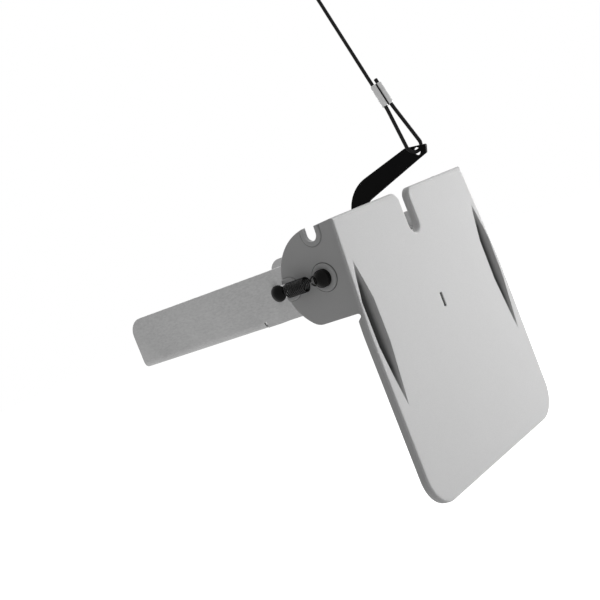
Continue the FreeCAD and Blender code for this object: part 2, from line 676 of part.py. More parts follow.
def make_fasteners(name, side):
    # In the order of FASTENERS
    washer_out = WEB_IN - size("seat_gap")
    nut_out = WEB_IN - size("stud_washer_wall")
    return [
        make_washer(f"{name}_axle_washer", side, washer_out, size("washer_wall"), AXLE_RADIUS,
                    size("washer_radius")),
        make_clip(f"{name}_clip", side, washer_out - size("washer_wall")),
        make_cap(f"{name}_axle_cap", side, size("cap_diameter"), 0),
        make_stud(f"{name}_stud", side),
        make_cap(f"{name}_stud_cap", side, size("stud_cap_diameter"), STUD_AHEAD),
        make_washer(f"{name}_stud_washer", side, WEB_IN, size("stud_washer_wall"), size("stud_diameter") / 2,
                    size("stud_washer_radius"), STUD_AHEAD),
        make_nut(f"{name}_nut", side, nut_out),
    ]


def make_clip(name, side, out):
    # An open ring with a gap below, snapped into the axle's groove
    body = new_body(name)
    sketch = new_sketch(body, "ring", "YZ_Plane", f"{side * out}")
    inner = size("clip_groove") / 2 + size("press_gap")
    outer = size("clip_radius")
    gap = math.radians(size("clip_opening") / 2)

    def spot(radius, turn):
        return Vector(radius * math.sin(turn), -radius * math.cos(turn), 0)

    fill_sketch(sketch, [
        Part.Arc(spot(outer, gap), spot(outer, math.pi), spot(outer, -gap)),
        Part.LineSegment(spot(outer, -gap), spot(inner, -gap)),
        Part.Arc(spot(inner, -gap), spot(inner, math.pi), spot(inner, gap)),
        Part.LineSegment(spot(inner, gap), spot(outer, gap)),
    ])
    pad(body, sketch, "Sizes.clip_wall", backward=side > 0)
    at_hinge(body)
    return body


def make_stud(name, side):
    shank = size("stud_diameter") / 2
    neck = size("stud_neck") / 2
    spigot = size("neck_diameter") / 2
    return turned(name, [
        (WEB_IN - size("stud_tail"), 0), (WEB_IN - size("stud_tail"), shank),
        (WEB_OUT, shank), (WEB_OUT, size("stud_shoulder_radius")),
        (WEB_OUT + size("stud_shoulder"), size("stud_shoulder_radius")),
        (WEB_OUT + size("stud_shoulder"), shank),
        (NECK_START, shank), (NECK_START, neck), (NECK_END, neck),
        (NECK_END, spigot), (SPIGOT_END, spigot), (SPIGOT_END, 0),
    ], ahead=STUD_AHEAD, side=side)


def make_nut(name, side, out):
    body = new_body(name)
    sketch = new_sketch(body, "hexagon", "YZ_Plane", f"{side * out}")
    across = size("nut_flats") / math.cos(math.radians(30)) / 2
    turns = [math.radians(60 * step) for step in range(6)]
    fill_sketch(sketch, rounded([(across * math.cos(t), across * math.sin(t), 0) for t in turns]))
    hole = size("stud_diameter") / 2 + size("press_gap")
    circle_sketch(sketch, 0, 0, "Sizes.stud_diameter / 2 + Sizes.press_gap", hole)
    pad(body, sketch, "Sizes.nut_height", backward=side > 0)
    at_hinge(body, ahead=STUD_AHEAD)
    return body


def make_collar(name, side):
    inner = size("lever_wall") / 2 + size("seat_gap")
    outer = inner + size("collar_length")
    bore = AXLE_RADIUS + size("press_gap")
    radius = size("collar_radius")
    return turned(name, [(inner, bore), (inner, radius), (outer, radius), (outer, bore)], side=side)


# The springs: a close-wound coil beside each ear, hooked round the axle and the stud

def tube(edges, radius, start, direction):
    # A wire or rope of a few flats along a tangent route of straight runs and arcs
    spine = Part.Wire(edges)
    sides = int(size("tube_flats"))
    turn = Rotation(Vector(0, 0, 1), direction)
    turns = [math.tau * step / sides for step in range(sides + 1)]
    rim = [start + turn.multVec(Vector(radius * math.cos(t), radius * math.sin(t), 0)) for t in turns]
    rim[-1] = rim[0]
    solid = spine.makePipe(Part.Face(Part.makePolygon(rim)))
    section = sides * radius ** 2 * math.sin(math.tau / sides) / 2
    print(f"tube volume {solid.Volume:.1f}, section times length {section * spine.Length:.1f}")
    return solid


def coil_barrel(side, centre, wire):
    # The coil is close-wound, so it is solid as a smooth tube as thick as its wire
    start = size("coil_start")
    axis_out = side * (HOOK_OUT + centre)
    base = Vector(axis_out, start, 0)
    length = STUD_AHEAD - 2 * start
    outside = Part.makeCylinder(centre + wire / 2, length, base, Vector(0, 1, 0))
    return outside.cut(Part.makeCylinder(centre - wire / 2, length, base, Vector(0, 1, 0)))


def spring_hook(side, eye, away, wire):
    # From the coil's inner flank straight to the post, then most of a turn round it
    reach = size("coil_start") + wire
    loop = size("neck_diameter") / 2 + size("hook_slack") + wire / 2
    touch = math.acos(loop / reach)
    last = math.radians(size("hook_turn"))
    out = side * HOOK_OUT

    def spot(turn):
        return Vector(out, eye + away * loop * math.cos(turn), loop * math.sin(turn))

    start = Vector(out, eye + away * reach, 0)
    edges = [
        Part.LineSegment(start, spot(touch)).toShape(),
        Part.Arc(spot(touch), spot((touch + last) / 2), spot(last)).toShape(),
    ]
    return tube(edges, wire / 2, start, spot(touch) - start)


def make_spring(name, side):
    wire = size("wire_diameter")
    centre = size("coil_diameter") / 2 - wire / 2
    shape = coil_barrel(side, centre, wire)
    for eye, away in ((0, 1), (STUD_AHEAD, -1)):
        shape = shape.fuse(spring_hook(side, eye, away, wire))
    feature = doc.addObject("Part::Feature", name)
    feature.Label = name
    feature.Shape = shape
    at_hinge(feature)
    return feature


# The lift cable: an eye through the lever, a crimped ferrule, the tight run and the same at its far end

def cable_frame(distance, flip=False):
    # Local Z runs along the cable, local X lies across its eyes
    lean = Rotation(Vector(1, 0, 0), -size("cable_lean"))
    turn = Rotation(Vector(0, 0, 1), -size("eye_turn"))
    over = Rotation(Vector(1, 0, 0), 180 if flip else 0)
    start = Vector(0, -size("pivot_back") - size("eyelet_back"), size("pivot_height") + size("eyelet_height"))
    along = lean.multVec(Vector(0, 0, distance))
    return Placement(start + along, lean * turn * over)


def make_eye(name, place):
    # A drop shape: round at the hole, then two legs that close up side by side in the ferrule
    bend = size("eye_bend")
    apart = CABLE_APART
    neck = size("eye_length")
    top = neck + size("ferrule_length")
    centre = Vector(0, 0, bend)
    lead = Vector(apart, 0, neck)
    span = lead - centre
    tilt = math.atan2(span.x, span.z)
    touch = math.acos(bend / span.Length)
    direction = math.radians(90) - tilt - touch
    leg = Vector(bend * math.cos(direction), 0, bend + bend * math.sin(direction))
    leg_left = Vector(-leg.x, 0, leg.z)
    lead_left = Vector(-lead.x, 0, lead.z)

    def corner(before, here, after):
        back = (before - here).normalize()
        on = (after - here).normalize()
        half = back.getAngle(on) / 2
        reach = size("eye_ease") / 2
        radius = reach * math.tan(half)
        middle = here + (back + on).normalize() * (radius / math.sin(half) - radius)
        print(f"{name}: bend radius {radius:.1f}")
        return here + back * reach, middle, here + on * reach

    tail = Vector(apart, 0, top + size("tail_length"))
    end = Vector(-apart, 0, top)
    right = corner(tail, lead, leg)
    left = corner(leg_left, lead_left, end)
    edges = [
        Part.LineSegment(tail, right[0]).toShape(),
        Part.Arc(*right).toShape(),
        Part.LineSegment(right[2], leg).toShape(),
        Part.Arc(leg, Vector(0, 0, 0), leg_left).toShape(),
        Part.LineSegment(leg_left, left[0]).toShape(),
        Part.Arc(*left).toShape(),
        Part.LineSegment(left[2], end).toShape(),
    ]
    feature = doc.addObject("Part::Feature", name)
    feature.Label = name
    feature.Shape = tube(edges, size("cable_diameter") / 2, tail, Vector(0, 0, 1))
    feature.Placement = place
    return feature


def make_ferrule(name, place):
    # Two barrels side by side with a crimped waist between them, bored for the cable
    body = new_body(name)
    apart = CABLE_APART
    outer = size("ferrule_barrel") / 2
    outline = new_sketch(body, "outline", "XY_Plane", "Sizes.eye_length")
    waist = outer * size("ferrule_waist")
    lean = math.asin(waist / outer)
    inner_x = apart - outer * math.cos(lean)
    fill_sketch(outline, [
        Part.Arc(Vector(inner_x, waist, 0), Vector(apart + outer, 0, 0), Vector(inner_x, -waist, 0)),
        Part.LineSegment(Vector(inner_x, -waist, 0), Vector(-inner_x, -waist, 0)),
        Part.Arc(Vector(-inner_x, -waist, 0), Vector(-apart - outer, 0, 0), Vector(-inner_x, waist, 0)),
        Part.LineSegment(Vector(-inner_x, waist, 0), Vector(inner_x, waist, 0)),
    ])
    pad(body, outline, "Sizes.ferrule_length")
    bores = new_sketch(body, "bores", "XY_Plane",
                       "Sizes.eye_length + Sizes.ferrule_length + Sizes.overshoot")
    for side in (-1, 1):
        circle_sketch(bores, side * apart, 0, "Sizes.cable_diameter / 2 + Sizes.press_gap",
                      size("cable_diameter") / 2)
    pocket(body, bores, "Sizes.ferrule_length + 2 * Sizes.overshoot")
    body.Placement = place
    return body


def make_cable(name):
    start = Vector(-CABLE_APART, 0, 0)
    run = Part.LineSegment(start, start + Vector(0, 0, size("cable_run"))).toShape()
    feature = doc.addObject("Part::Feature", name)
    feature.Label = name
    feature.Shape = tube([run], size("cable_diameter") / 2, start, Vector(0, 0, 1))
    feature.Placement = cable_frame(size("eye_length") + size("ferrule_length"))
    return feature


def mirrored(name, source):
    item = doc.addObject("Part::Mirroring", name)
    item.Label = name
    item.Source = source
    item.Normal = Vector(1, 0, 0)
    return item


def paired(name, pieces):
    # Identical fasteners of the two sides share one node
    item = doc.addObject("Part::Compound", name)
    item.Label = name
    item.Links = pieces
    return item


def make_all():
    port_arm = make_port_arm()
    doc.recompute()
    pieces = [make_plate(), make_lever(), port_arm, mirrored("starboard_arm", port_arm), make_axle()]
    fasteners = [make_fasteners(name, side) for name, side in SIDES.items()]
    for name, twins in zip(FASTENERS, zip(*fasteners)):
        pieces.append(paired(name, list(twins)))
    for name, side in SIDES.items():
        pieces.append(make_bush(f"{name}_bush", side))
        pieces.append(make_collar(f"{name}_lever_collar", side))
        pieces.append(make_spring(f"{name}_spring", side))
    far = 2 * (size("eye_length") + size("ferrule_length")) + size("cable_run")
    pieces.append(make_eye("cable_eye", cable_frame(0)))
    pieces.append(make_ferrule("cable_ferrule", cable_frame(0)))
    pieces.append(make_cable("lift_cable"))
    pieces.append(make_ferrule("end_ferrule", cable_frame(far, flip=True)))
    pieces.append(make_eye("end_eye", cable_frame(far, flip=True)))
    doc.recompute()
    return pieces


def check_and_write(pieces):
    failed = [item.Name for item in doc.Objects if {"Invalid", "Error"} & set(item.State)]
    if failed:
        raise RuntimeError(f"failed: {failed}")
    os.makedirs("parts", exist_ok=True)
    for piece in pieces:
        shape = piece.Shape
        wanted = 2 if piece.Label in FASTENERS else 1
        if shape.isNull() or not shape.isValid() or len(shape.Solids) != wanted:
            raise RuntimeError(f"{piece.Label} has {len(shape.Solids)} solids, not {wanted} sound ones")
        shape.exportStep(f"parts/{piece.Label}.step")
        box = shape.BoundBox
        print(f"{piece.Label}: {shape.Volume:.0f} mm3, X {box.XMin:.1f} {box.XMax:.1f}, "
              f"Y {box.YMin:.1f} {box.YMax:.1f}, Z {box.ZMin:.1f} {box.ZMax:.1f}")


check_and_write(make_all())
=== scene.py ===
import math

import bmesh
import bpy
import numpy as np
from mathutils import Matrix, Vector
from mathutils.geometry import delaunay_2d_cdt


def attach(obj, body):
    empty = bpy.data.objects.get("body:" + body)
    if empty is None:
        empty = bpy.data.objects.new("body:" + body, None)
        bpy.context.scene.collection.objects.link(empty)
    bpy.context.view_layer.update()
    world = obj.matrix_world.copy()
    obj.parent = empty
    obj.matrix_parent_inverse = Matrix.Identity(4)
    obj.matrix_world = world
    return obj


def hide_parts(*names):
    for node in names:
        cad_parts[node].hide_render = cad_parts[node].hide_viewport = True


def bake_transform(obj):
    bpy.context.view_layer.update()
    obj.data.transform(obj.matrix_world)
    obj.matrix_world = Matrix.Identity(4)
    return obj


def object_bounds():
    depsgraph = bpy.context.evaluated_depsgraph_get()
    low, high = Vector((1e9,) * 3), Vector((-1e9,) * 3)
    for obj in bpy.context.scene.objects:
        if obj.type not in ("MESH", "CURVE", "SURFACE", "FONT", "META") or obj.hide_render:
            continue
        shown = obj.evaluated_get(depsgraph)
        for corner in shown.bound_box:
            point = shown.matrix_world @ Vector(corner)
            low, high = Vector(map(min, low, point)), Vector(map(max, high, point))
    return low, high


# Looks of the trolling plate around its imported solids. Places are the row frame's: +X starboard,
# +Y forward to the boat, +Z up. Lengths are millimetres, and metres for the camera, the lamps and the floor.

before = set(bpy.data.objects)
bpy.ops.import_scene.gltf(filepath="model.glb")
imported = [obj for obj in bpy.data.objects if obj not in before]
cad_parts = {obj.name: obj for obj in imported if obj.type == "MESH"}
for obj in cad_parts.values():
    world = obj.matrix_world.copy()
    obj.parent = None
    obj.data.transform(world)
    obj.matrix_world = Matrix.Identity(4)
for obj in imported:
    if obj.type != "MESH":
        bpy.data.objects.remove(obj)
cadLow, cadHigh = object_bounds()
mm = 0.001
hinge = np.array([0.0, -139.0, 24.0])  # hinge axis, which most pieces are measured from
sides = {"port": -1, "starboard": 1}
print("frame loaded")


# Scene and shader helpers

def addObject(name, data):
    item = bpy.data.objects.new(name, data)
    bpy.context.scene.collection.objects.link(item)
    return item


def grey(level):
    return (level, level, level, 1)


def feed(tree, node, inputs):
    # Each input gets another node's output or a fixed value
    for name, value in inputs.items():
        if isinstance(value, bpy.types.NodeSocket):
            tree.links.new(value, node.inputs[name])
        else:
            node.inputs[name].default_value = value


def addNode(tree, kind, output, inputs, **settings):
    # Gives the named output of a new shader node
    node = tree.nodes.new("ShaderNode" + kind)
    for name, value in settings.items():
        setattr(node, name, value)
    feed(tree, node, inputs)
    return node.outputs[output]


def mathNode(tree, operation, one, two):
    return addNode(tree, "Math", 0, {0: one, 1: two}, operation=operation)


def mixColour(tree, factor, one, two):
    return addNode(tree, "Mix", "Result", {"Factor": factor, "A": one, "B": two}, data_type="RGBA")


def seenBy(tree, *kinds):
    # 1 for a ray of any of the kinds, otherwise 0
    rays = tree.nodes.new("ShaderNodeLightPath").outputs
    seen = 0.0
    for kind in kinds:
        seen = mathNode(tree, "MAXIMUM", seen, rays[f"Is {kind} Ray"])
    return seen


def startMaterial(name):
    material = bpy.data.materials.new(name)
    material.use_nodes = True
    return material, material.node_tree, material.node_tree.nodes["Principled BSDF"]


# Camera, lamps and floor

cameraSet = {
    "place": (-0.86085, -0.68384, 0.07236),
    "right": (0.5479, -0.7526, -0.3651),
    "up": (0.2684, -0.2552, 0.9289),
    "lens": 72.06,
    "sensor": 36.0,
    "near": 0.01,
}

lampAim = (0.0, -0.08, 0.0)
lampSet = {
    "key": {"place": (2.6, -1.75, -0.1), "size": 0.6, "power": 80.0},  # rakes the plate's rear face
    "top": {"place": (0.5, 0.1, 2.2), "size": 1.6, "power": 14.0},
    "front": {"place": (0.9, 1.9, 0.7), "size": 1.4, "power": 12.0},
}

stageSet = {
    "floorBelow": 0.30, "floorSize": 14.0, "floorWhite": 0.8, "floorRough": 0.9, "floorGlow": 0.88,
    "ambient": 0.225,
}


def makeCamera():
    right = Vector(cameraSet["right"]).normalized()
    back = right.cross(Vector(cameraSet["up"])).normalized()
    turn = Matrix((right, back.cross(right), back)).transposed().to_4x4()
    data = bpy.data.cameras.new("photoCamera")
    data.lens = cameraSet["lens"]
    data.sensor_width = cameraSet["sensor"]
    data.clip_start = cameraSet["near"]
    camera = addObject("photoCamera", data)
    camera.matrix_world = Matrix.Translation(cameraSet["place"]) @ turn
    bpy.context.scene.camera = camera


def makeLamps():
    for name, lamp in lampSet.items():
        data = bpy.data.lights.new(name, "AREA")
        data.size = lamp["size"]
        data.energy = lamp["power"]
        item = addObject(name, data)
        item.location = lamp["place"]
        item.rotation_euler = (Vector(lampAim) - item.location).to_track_quat("-Z", "Y").to_euler()


def makeWorld():
    # Ambient light for diffuse rays, white for the others
    world = bpy.data.worlds.new("studio")
    bpy.context.scene.world = world
    world.use_nodes = True
    tree = world.node_tree
    strength = {"Value": seenBy(tree, "Camera", "Glossy", "Transmission"), "To Min": stageSet["ambient"]}
    level = addNode(tree, "MapRange", "Result", strength)
    feed(tree, tree.nodes["Background"], {"Color": grey(1), "Strength": level})


def makeFloor():
    half = stageSet["floorSize"] / 2
    low = cadLow.z - stageSet["floorBelow"]
    mesh = bpy.data.meshes.new("floor")
    corners = [(-half, -half, low), (half, -half, low), (half, half, low), (-half, half, low)]
    mesh.from_pydata(corners, [], [(0, 1, 2, 3)])
    material, tree, surface = startMaterial("paleFloor")
    glow = mathNode(tree, "MULTIPLY", seenBy(tree, "Camera", "Glossy"), stageSet["floorGlow"])
    feed(tree, surface, {
        "Base Color": grey(stageSet["floorWhite"]), "Roughness": stageSet["floorRough"],
        "Specular IOR Level": 0.0, "Emission Color": grey(1), "Emission Strength": glow})
    mesh.materials.append(material)
    floor = addObject("floor", mesh)


bpy.context.scene.view_settings.view_transform = "Standard"
makeCamera()
makeLamps()
makeWorld()
makeFloor()
print("camera, lamps and floor made")


# Materials: greys from dark to light by a slow and a fine noise, whose scales are waves per metre

finishBase = {
    "metal": 0.0, "shine": 0.5, "stretch": (1, 1, 1), "detail": (4, 3), "fineShare": 0.5, "tone": (0.3, 0.7),
    "bumpDepth": 0.00008,
}

finishSet = {
    "platePaint": {
        "dark": 0.575, "light": 0.625, "rough": (0.56, 0.7), "shine": 0.22, "slow": 14, "fine": 1500,
        # last grey: the painted shade in the grooves and at the feet of the ear's rims
        "fineShare": 0.7, "bump": 0.35, "wear": 0.8, "dust": 0.025},
    "armSteel": {
        "dark": 0.27, "light": 0.36, "rough": (0.36, 0.52), "metal": 1.0, "slow": 22, "fine": 900,
        "fineShare": 0.6, "bump": 0.25, "stretch": (1, 0.35, 1), "wear": 0.6},
    "leverPaint": {
        "dark": 0.002, "light": 0.005, "rough": (0.4, 0.6), "shine": 0.05, "slow": 30, "fine": 1400,
        "bump": 0.3, "wear": 0.04},
    "turnedSteel": {
        "dark": 0.4, "light": 0.55, "rough": (0.25, 0.4), "metal": 1.0, "slow": 60, "fine": 1200,
        "bump": 0.2, "stretch": (3, 0.6, 0.6)},
    "blackNylon": {
        "dark": 0.010, "light": 0.018, "rough": (0.45, 0.65), "shine": 0.25, "slow": 40,
        "fine": 1600, "bump": 0.35},
    "capPlastic": {
        "dark": 0.002, "light": 0.004, "rough": (0.2, 0.3), "shine": 0.08, "slow": 50, "fine": 1300,
        "bump": 0.12},
    "springSteel": {
        "dark": 0.014, "light": 0.03, "rough": (0.2, 0.3), "metal": 1.0, "slow": 80, "fine": 1800,
        "bump": 0.2},
    "crimpMetal": {
        "dark": 0.34, "light": 0.5, "rough": (0.28, 0.42), "metal": 1.0, "slow": 70, "fine": 1100,
        # last grey: the painted shade in the ferrule's waist between its barrels
        "bump": 0.3, "stretch": (1, 1, 0.4), "wear": 0.6, "dust": 0.01},
}

ropeSet = {
    "dark": 0.002, "light": 0.008, "shine": 0.15, "rough": 0.32, "scale": 1.6, "bump": 0.6,
    "bumpDepth": 0.0002,
}

# Material slot of each finish, and the angle in degrees up to which its edges are smoothed
slots = {
    "platePaint": ("plate_paint", 30.0), "armSteel": ("arm_steel", 32.0),
    "leverPaint": ("lever_black", 32.0), "turnedSteel": ("stainless", 34.0),
    "blackNylon": ("bush_plastic", 34.0), "capPlastic": ("cap_black", 50.0),
    "springSteel": ("spring_steel", 60.0), "crimpMetal": ("ferrule_metal", 40.0),
    "ropeBlack": ("cable_black", 60.0),
}


def newMaterial(name, changes):
    # Principled finish: fine grain in its bump, and a slow and a fine change of tone and roughness
    s = {**finishBase, **changes}
    material, tree, surface = startMaterial(name)
    place = addNode(tree, "TexCoord", "Object", {})
    along = addNode(tree, "Mapping", "Vector", {"Vector": place, "Scale": s["stretch"]})
    (slowDetail, fineDetail), (low, high), (smooth, dull) = s["detail"], s["tone"], s["rough"]
    slow = addNode(tree, "TexNoise", "Fac", {"Vector": place, "Scale": s["slow"], "Detail": slowDetail})
    fine = addNode(tree, "TexNoise", "Fac", {"Vector": along, "Scale": s["fine"], "Detail": fineDetail})
    both = addNode(tree, "Mix", "Result", {"Factor": s["fineShare"], "A": slow, "B": fine})
    tone = addNode(tree, "MapRange", "Result", {"Value": both, "From Min": low, "From Max": high})
    rough = addNode(tree, "MapRange", "Result", {"Value": both, "To Min": smooth, "To Max": dull})
    grain = {"Strength": s["bump"], "Distance": s["bumpDepth"], "Height": fine}
    colour = mixColour(tree, tone, grey(s["dark"]), grey(s["light"]))
    if "wear" in s:  # the piece's own attribute: bare worn edges above zero, broken up by the noise, and painted shade below zero
        worn = addNode(tree, "Attribute", "Fac", {}, attribute_name="edgeWearAndShade")
        colour = mixColour(tree, mathNode(tree, "MULTIPLY", worn, tone), colour, grey(s["wear"]))
        # Painted shade: below zero the colour goes to the finish's dark grey for hollows and creases
        shadeShare = mathNode(tree, "MULTIPLY", worn, -1.0)
        colour = mixColour(tree, shadeShare, colour, grey(s.get("dust", s["dark"])))
    feed(tree, surface, {
        "Base Color": colour, "Metallic": s["metal"], "Specular IOR Level": s["shine"], "Roughness": rough,
        "Normal": addNode(tree, "Bump", "Normal", grain)})
    return material


def ropeMaterial():
    # Black coated wire rope: slanted strands from the tube's own UV map, shiny between soft grooves
    s = ropeSet
    material, tree, surface = startMaterial("ropeBlack")
    place = addNode(tree, "UVMap", "UV", {})
    wave = addNode(tree, "TexWave", "Fac", {"Vector": place, "Scale": s["scale"]},
                   wave_type="BANDS", bands_direction="DIAGONAL")
    grain = {"Strength": s["bump"], "Distance": s["bumpDepth"], "Height": wave}
    feed(tree, surface, {
        "Base Color": mixColour(tree, wave, grey(s["dark"]), grey(s["light"])),
        "Specular IOR Level": s["shine"], "Roughness": s["rough"],
        "Normal": addNode(tree, "Bump", "Normal", grain)})
    return material


finishes = {name: newMaterial(name, changes) for name, changes in finishSet.items()}
finishes["ropeBlack"] = ropeMaterial()
print("materials made")


# Building tools

def nodeName(name):
    return "".join("_" + letter.lower() if letter.isupper() else letter for letter in name)


def addPiece(name, points, faces, finish, body, node=None, wear=None, uv=None):
    # Points are in millimetres of the row frame, and faces are turned outwards. The piece stands for the
    # node of its own name, unless another is given.
    slot, sharp = slots[finish]
    mesh = bpy.data.meshes.new(name)
    mesh.from_pydata((np.asarray(points) * mm).tolist(), [], faces)
    mesh.materials.append(finishes[finish])
    if wear is not None:
        # Above zero the values are worn edges, below zero painted shade in hollows and creases
        attribute = mesh.attributes.new("edgeWearAndShade", "FLOAT", "POINT")
        attribute.data.foreach_set("value", np.asarray(wear, np.float32))
    if uv is not None:
        layer = mesh.uv_layers.new(name="UVMap")
        corners = np.zeros(len(mesh.loops), np.int32)
        mesh.loops.foreach_get("vertex_index", corners)
        layer.data.foreach_set("uv", np.asarray(uv, np.float32)[corners].ravel())
    work = bmesh.new()
    work.from_mesh(mesh)
    bmesh.ops.recalc_face_normals(work, faces=work.faces)
    work.to_mesh(mesh)
    work.free()
    mesh.shade_smooth()
    mesh.set_sharp_from_angle(angle=math.radians(sharp))
    item = addObject(name, mesh)
    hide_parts(node or nodeName(name))
    if body:
        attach(item, body)
    return item


def arc(middle, radius, start, end, count):
    # Points round part of a circle with both ends, angles in radians
    turn = np.linspace(start, end, count)
    return np.array(middle) + radius * np.stack([np.cos(turn), np.sin(turn)], 1)


def circle(radius, count, middle=(0, 0)):
    return arc(middle, radius, 0, math.tau, count + 1)[:-1]


def easedCorner(one, corner, two, count):
    # Parabola from one to two, tangent to both runs of the corner
    share = np.linspace(0, 1, count)[:, None]
    return (1 - share) ** 2 * one + 2 * share * (1 - share) * corner + share ** 2 * two


def smoothStep(value, low, high):
    share = np.clip((value - low) / (high - low), 0, 1)
    return share * share * (3 - 2 * share)


def turned(points, degrees):
    angle = math.radians(degrees)
    return points @ np.array([[math.cos(angle), math.sin(angle)], [-math.sin(angle), math.cos(angle)]])


def roundCorners(corners, counts=None, step=1.5, finer=1.6):
    # A closed line through (x, y, radius) corners with a tangent arc at each, sampled finer than the runs
    # between them. It also gives the counts of its arcs and runs, to sample a like line alike.
    spots = np.array([corner[:2] for corner in corners], float)
    arcs, used = [], []
    for index, here in enumerate(spots):
        radius = corners[index][2]
        back = spots[index - 1] - here
        on = spots[(index + 1) % len(spots)] - here
        back, on = back / np.linalg.norm(back), on / np.linalg.norm(on)
        half = math.acos(np.clip(back @ on, -1, 1)) / 2
        middle = here + (back + on) / np.linalg.norm(back + on) * radius / math.sin(half)
        start = here + back * radius / math.tan(half) - middle
        end = here + on * radius / math.tan(half) - middle
        first = math.atan2(start[1], start[0])
        turn = (math.atan2(end[1], end[0]) - first + math.pi) % math.tau - math.pi
        count = counts[index][0] if counts else max(4, math.ceil(abs(turn) * radius / step * finer))
        arcs.append(arc(middle, radius, first, first + turn, count))
        used.append(count)
    line, runs = [], []
    for index, bend in enumerate(arcs):
        following = arcs[(index + 1) % len(arcs)][0]
        length = np.linalg.norm(following - bend[-1])
        count = counts[index][1] if counts else max(1, round(length / step))
        line += [bend, np.linspace(bend[-1], following, count + 1)[1:-1]]
        runs.append(count)
    return np.vstack(line), list(zip(used, runs))


def roundedBox(one, two, radius):
    # A rectangle between two opposite corners
    (left, low), (right, high) = one, two
    corners = [(left, low), (right, low), (right, high), (left, high)]
    return roundCorners([(*corner, radius) for corner in corners])[0]


def inwards(loop, distance):
    # Each point moved to its left, which is into the sheet
    along = np.roll(loop, -1, 0) - np.roll(loop, 1, 0)
    along /= np.linalg.norm(along, axis=1, keepdims=True)
    return loop + distance * np.stack([-along[:, 1], along[:, 0]], 1)


def areaOf(loop):
    x, y = loop[:, 0], loop[:, 1]
    return 0.5 * np.sum(x * np.roll(y, -1) - np.roll(x, -1) * y)


def insideSheet(points, loops):
    # Crossing test of every point against every edge. In a hole the crossings are even, as they are outside.
    a, b = np.vstack(loops), np.vstack([np.roll(loop, -1, 0) for loop in loops])
    x, y = points[:, :1], points[:, 1:2]
    crosses = (a[:, 1] > y) != (b[:, 1] > y)
    rise = np.where(b[:, 1] == a[:, 1], 1e-9, b[:, 1] - a[:, 1])
    reach = a[:, 0] + (y - a[:, 1]) / rise * (b[:, 0] - a[:, 0])
    return (crosses & (x < reach)).sum(1) % 2 == 1


def nearest(points, others):
    # Distance from each point to the nearest of the others, a few hundred points at a time
    chunks = np.array_split(points, len(points) // 500 + 1)
    return np.concatenate([np.linalg.norm(chunk[:, None] - others, axis=2).min(1) for chunk in chunks])


fillSet = {
    "guard": 1.2,  # row of points inside an edge, with the least distances kept from an edge below
    "guardClear": 1.02, "gridClear": 1.92, "extraClear": 0.45,
    "extraShare": 0.45,  # of the grid's spacing, kept free round extra points
    "push": 0.002, "weld": 1e-7, "thin": 0.0002,
}


def fillPoints(loops, spacing, extra=None):
    # Any extra points, a row just inside every edge, and a square grid in what is left of the sheet
    f = fillSet
    edge = np.vstack(loops)

    def inSheet(points, gap):
        points = points[insideSheet(points, loops)]
        return points[nearest(points, edge) > gap]

    rows = inSheet(np.vstack([inwards(loop, f["guard"]) for loop in loops]), f["guardClear"])
    rows = rows[np.unique(np.round(rows / f["extraClear"]), axis=0, return_index=True)[1]]
    low, high = loops[0].min(0), loops[0].max(0)
    across, up = np.meshgrid(np.arange(low[0], high[0], spacing), np.arange(low[1], high[1], spacing))
    grid = inSheet(np.stack([across.ravel(), up.ravel()], 1), f["gridClear"])
    if extra is None:
        return np.vstack([rows, grid])
    extra = inSheet(extra, f["extraClear"])
    rows = rows[nearest(rows, extra) > f["extraClear"]]
    return np.vstack([rows, extra, grid[nearest(grid, extra) > spacing * f["extraShare"]]])


def fillBetween(loops, points):
    # Triangles between the loops through the given points. Every other edge point is pushed out a little
    # while they are found, because points in a straight row leave slivers, and thinner ones are dropped.
    f = fillSet
    pushed = [inwards(loop, np.where(np.arange(len(loop)) % 2, -f["push"], 0.0)[:, None]) for loop in loops]
    coords = np.vstack([*pushed, points])
    edges, start = [], 0
    for loop in pushed:
        ring = np.arange(len(loop))
        edges += np.stack([start + ring, start + (ring + 1) % len(loop)], 1).tolist()
        start += len(loop)
    spots = [Vector(spot) for spot in coords.tolist()]
    _, _, triangles, origins, _, _ = delaunay_2d_cdt(spots, edges, [], 0, f["weld"], True)
    source = np.array([origin[0] if origin else -1 for origin in origins])
    triangles = source[np.array(triangles)]
    one, two = (coords[triangles[:, corner]] - coords[triangles[:, 0]] for corner in (1, 2))
    keep = insideSheet(coords[triangles].mean(1), pushed) & (triangles.min(1) >= 0)
    keep &= np.abs(one[:, 0] * two[:, 1] - one[:, 1] * two[:, 0]) > f["thin"]
    return coords, triangles[keep]


def ringQuads(levels, around, start=0):
    # Quads from each ring of points to the next
    grid = start + np.arange(levels * around).reshape(levels, around)
    following = np.roll(grid, -1, 1)
    return np.stack([grid[:-1], following[:-1], following[1:], grid[1:]], -1).reshape(-1, 4).tolist()


def endFaces(levels, around):
    return [list(range(around)), list(range((levels - 1) * around, levels * around))]


def quarterRound(radius, count):
    # Steps of (inset, drop) from a face round to its side
    turn = np.linspace(0, math.pi / 2, count)
    return list(zip(radius * (1 - np.sin(turn)), radius * (1 - np.cos(turn))))


def addColumn(points, value):
    # One more coordinate for the points: the same for all or one for each
    return np.column_stack([points, np.zeros(len(points)) + value])


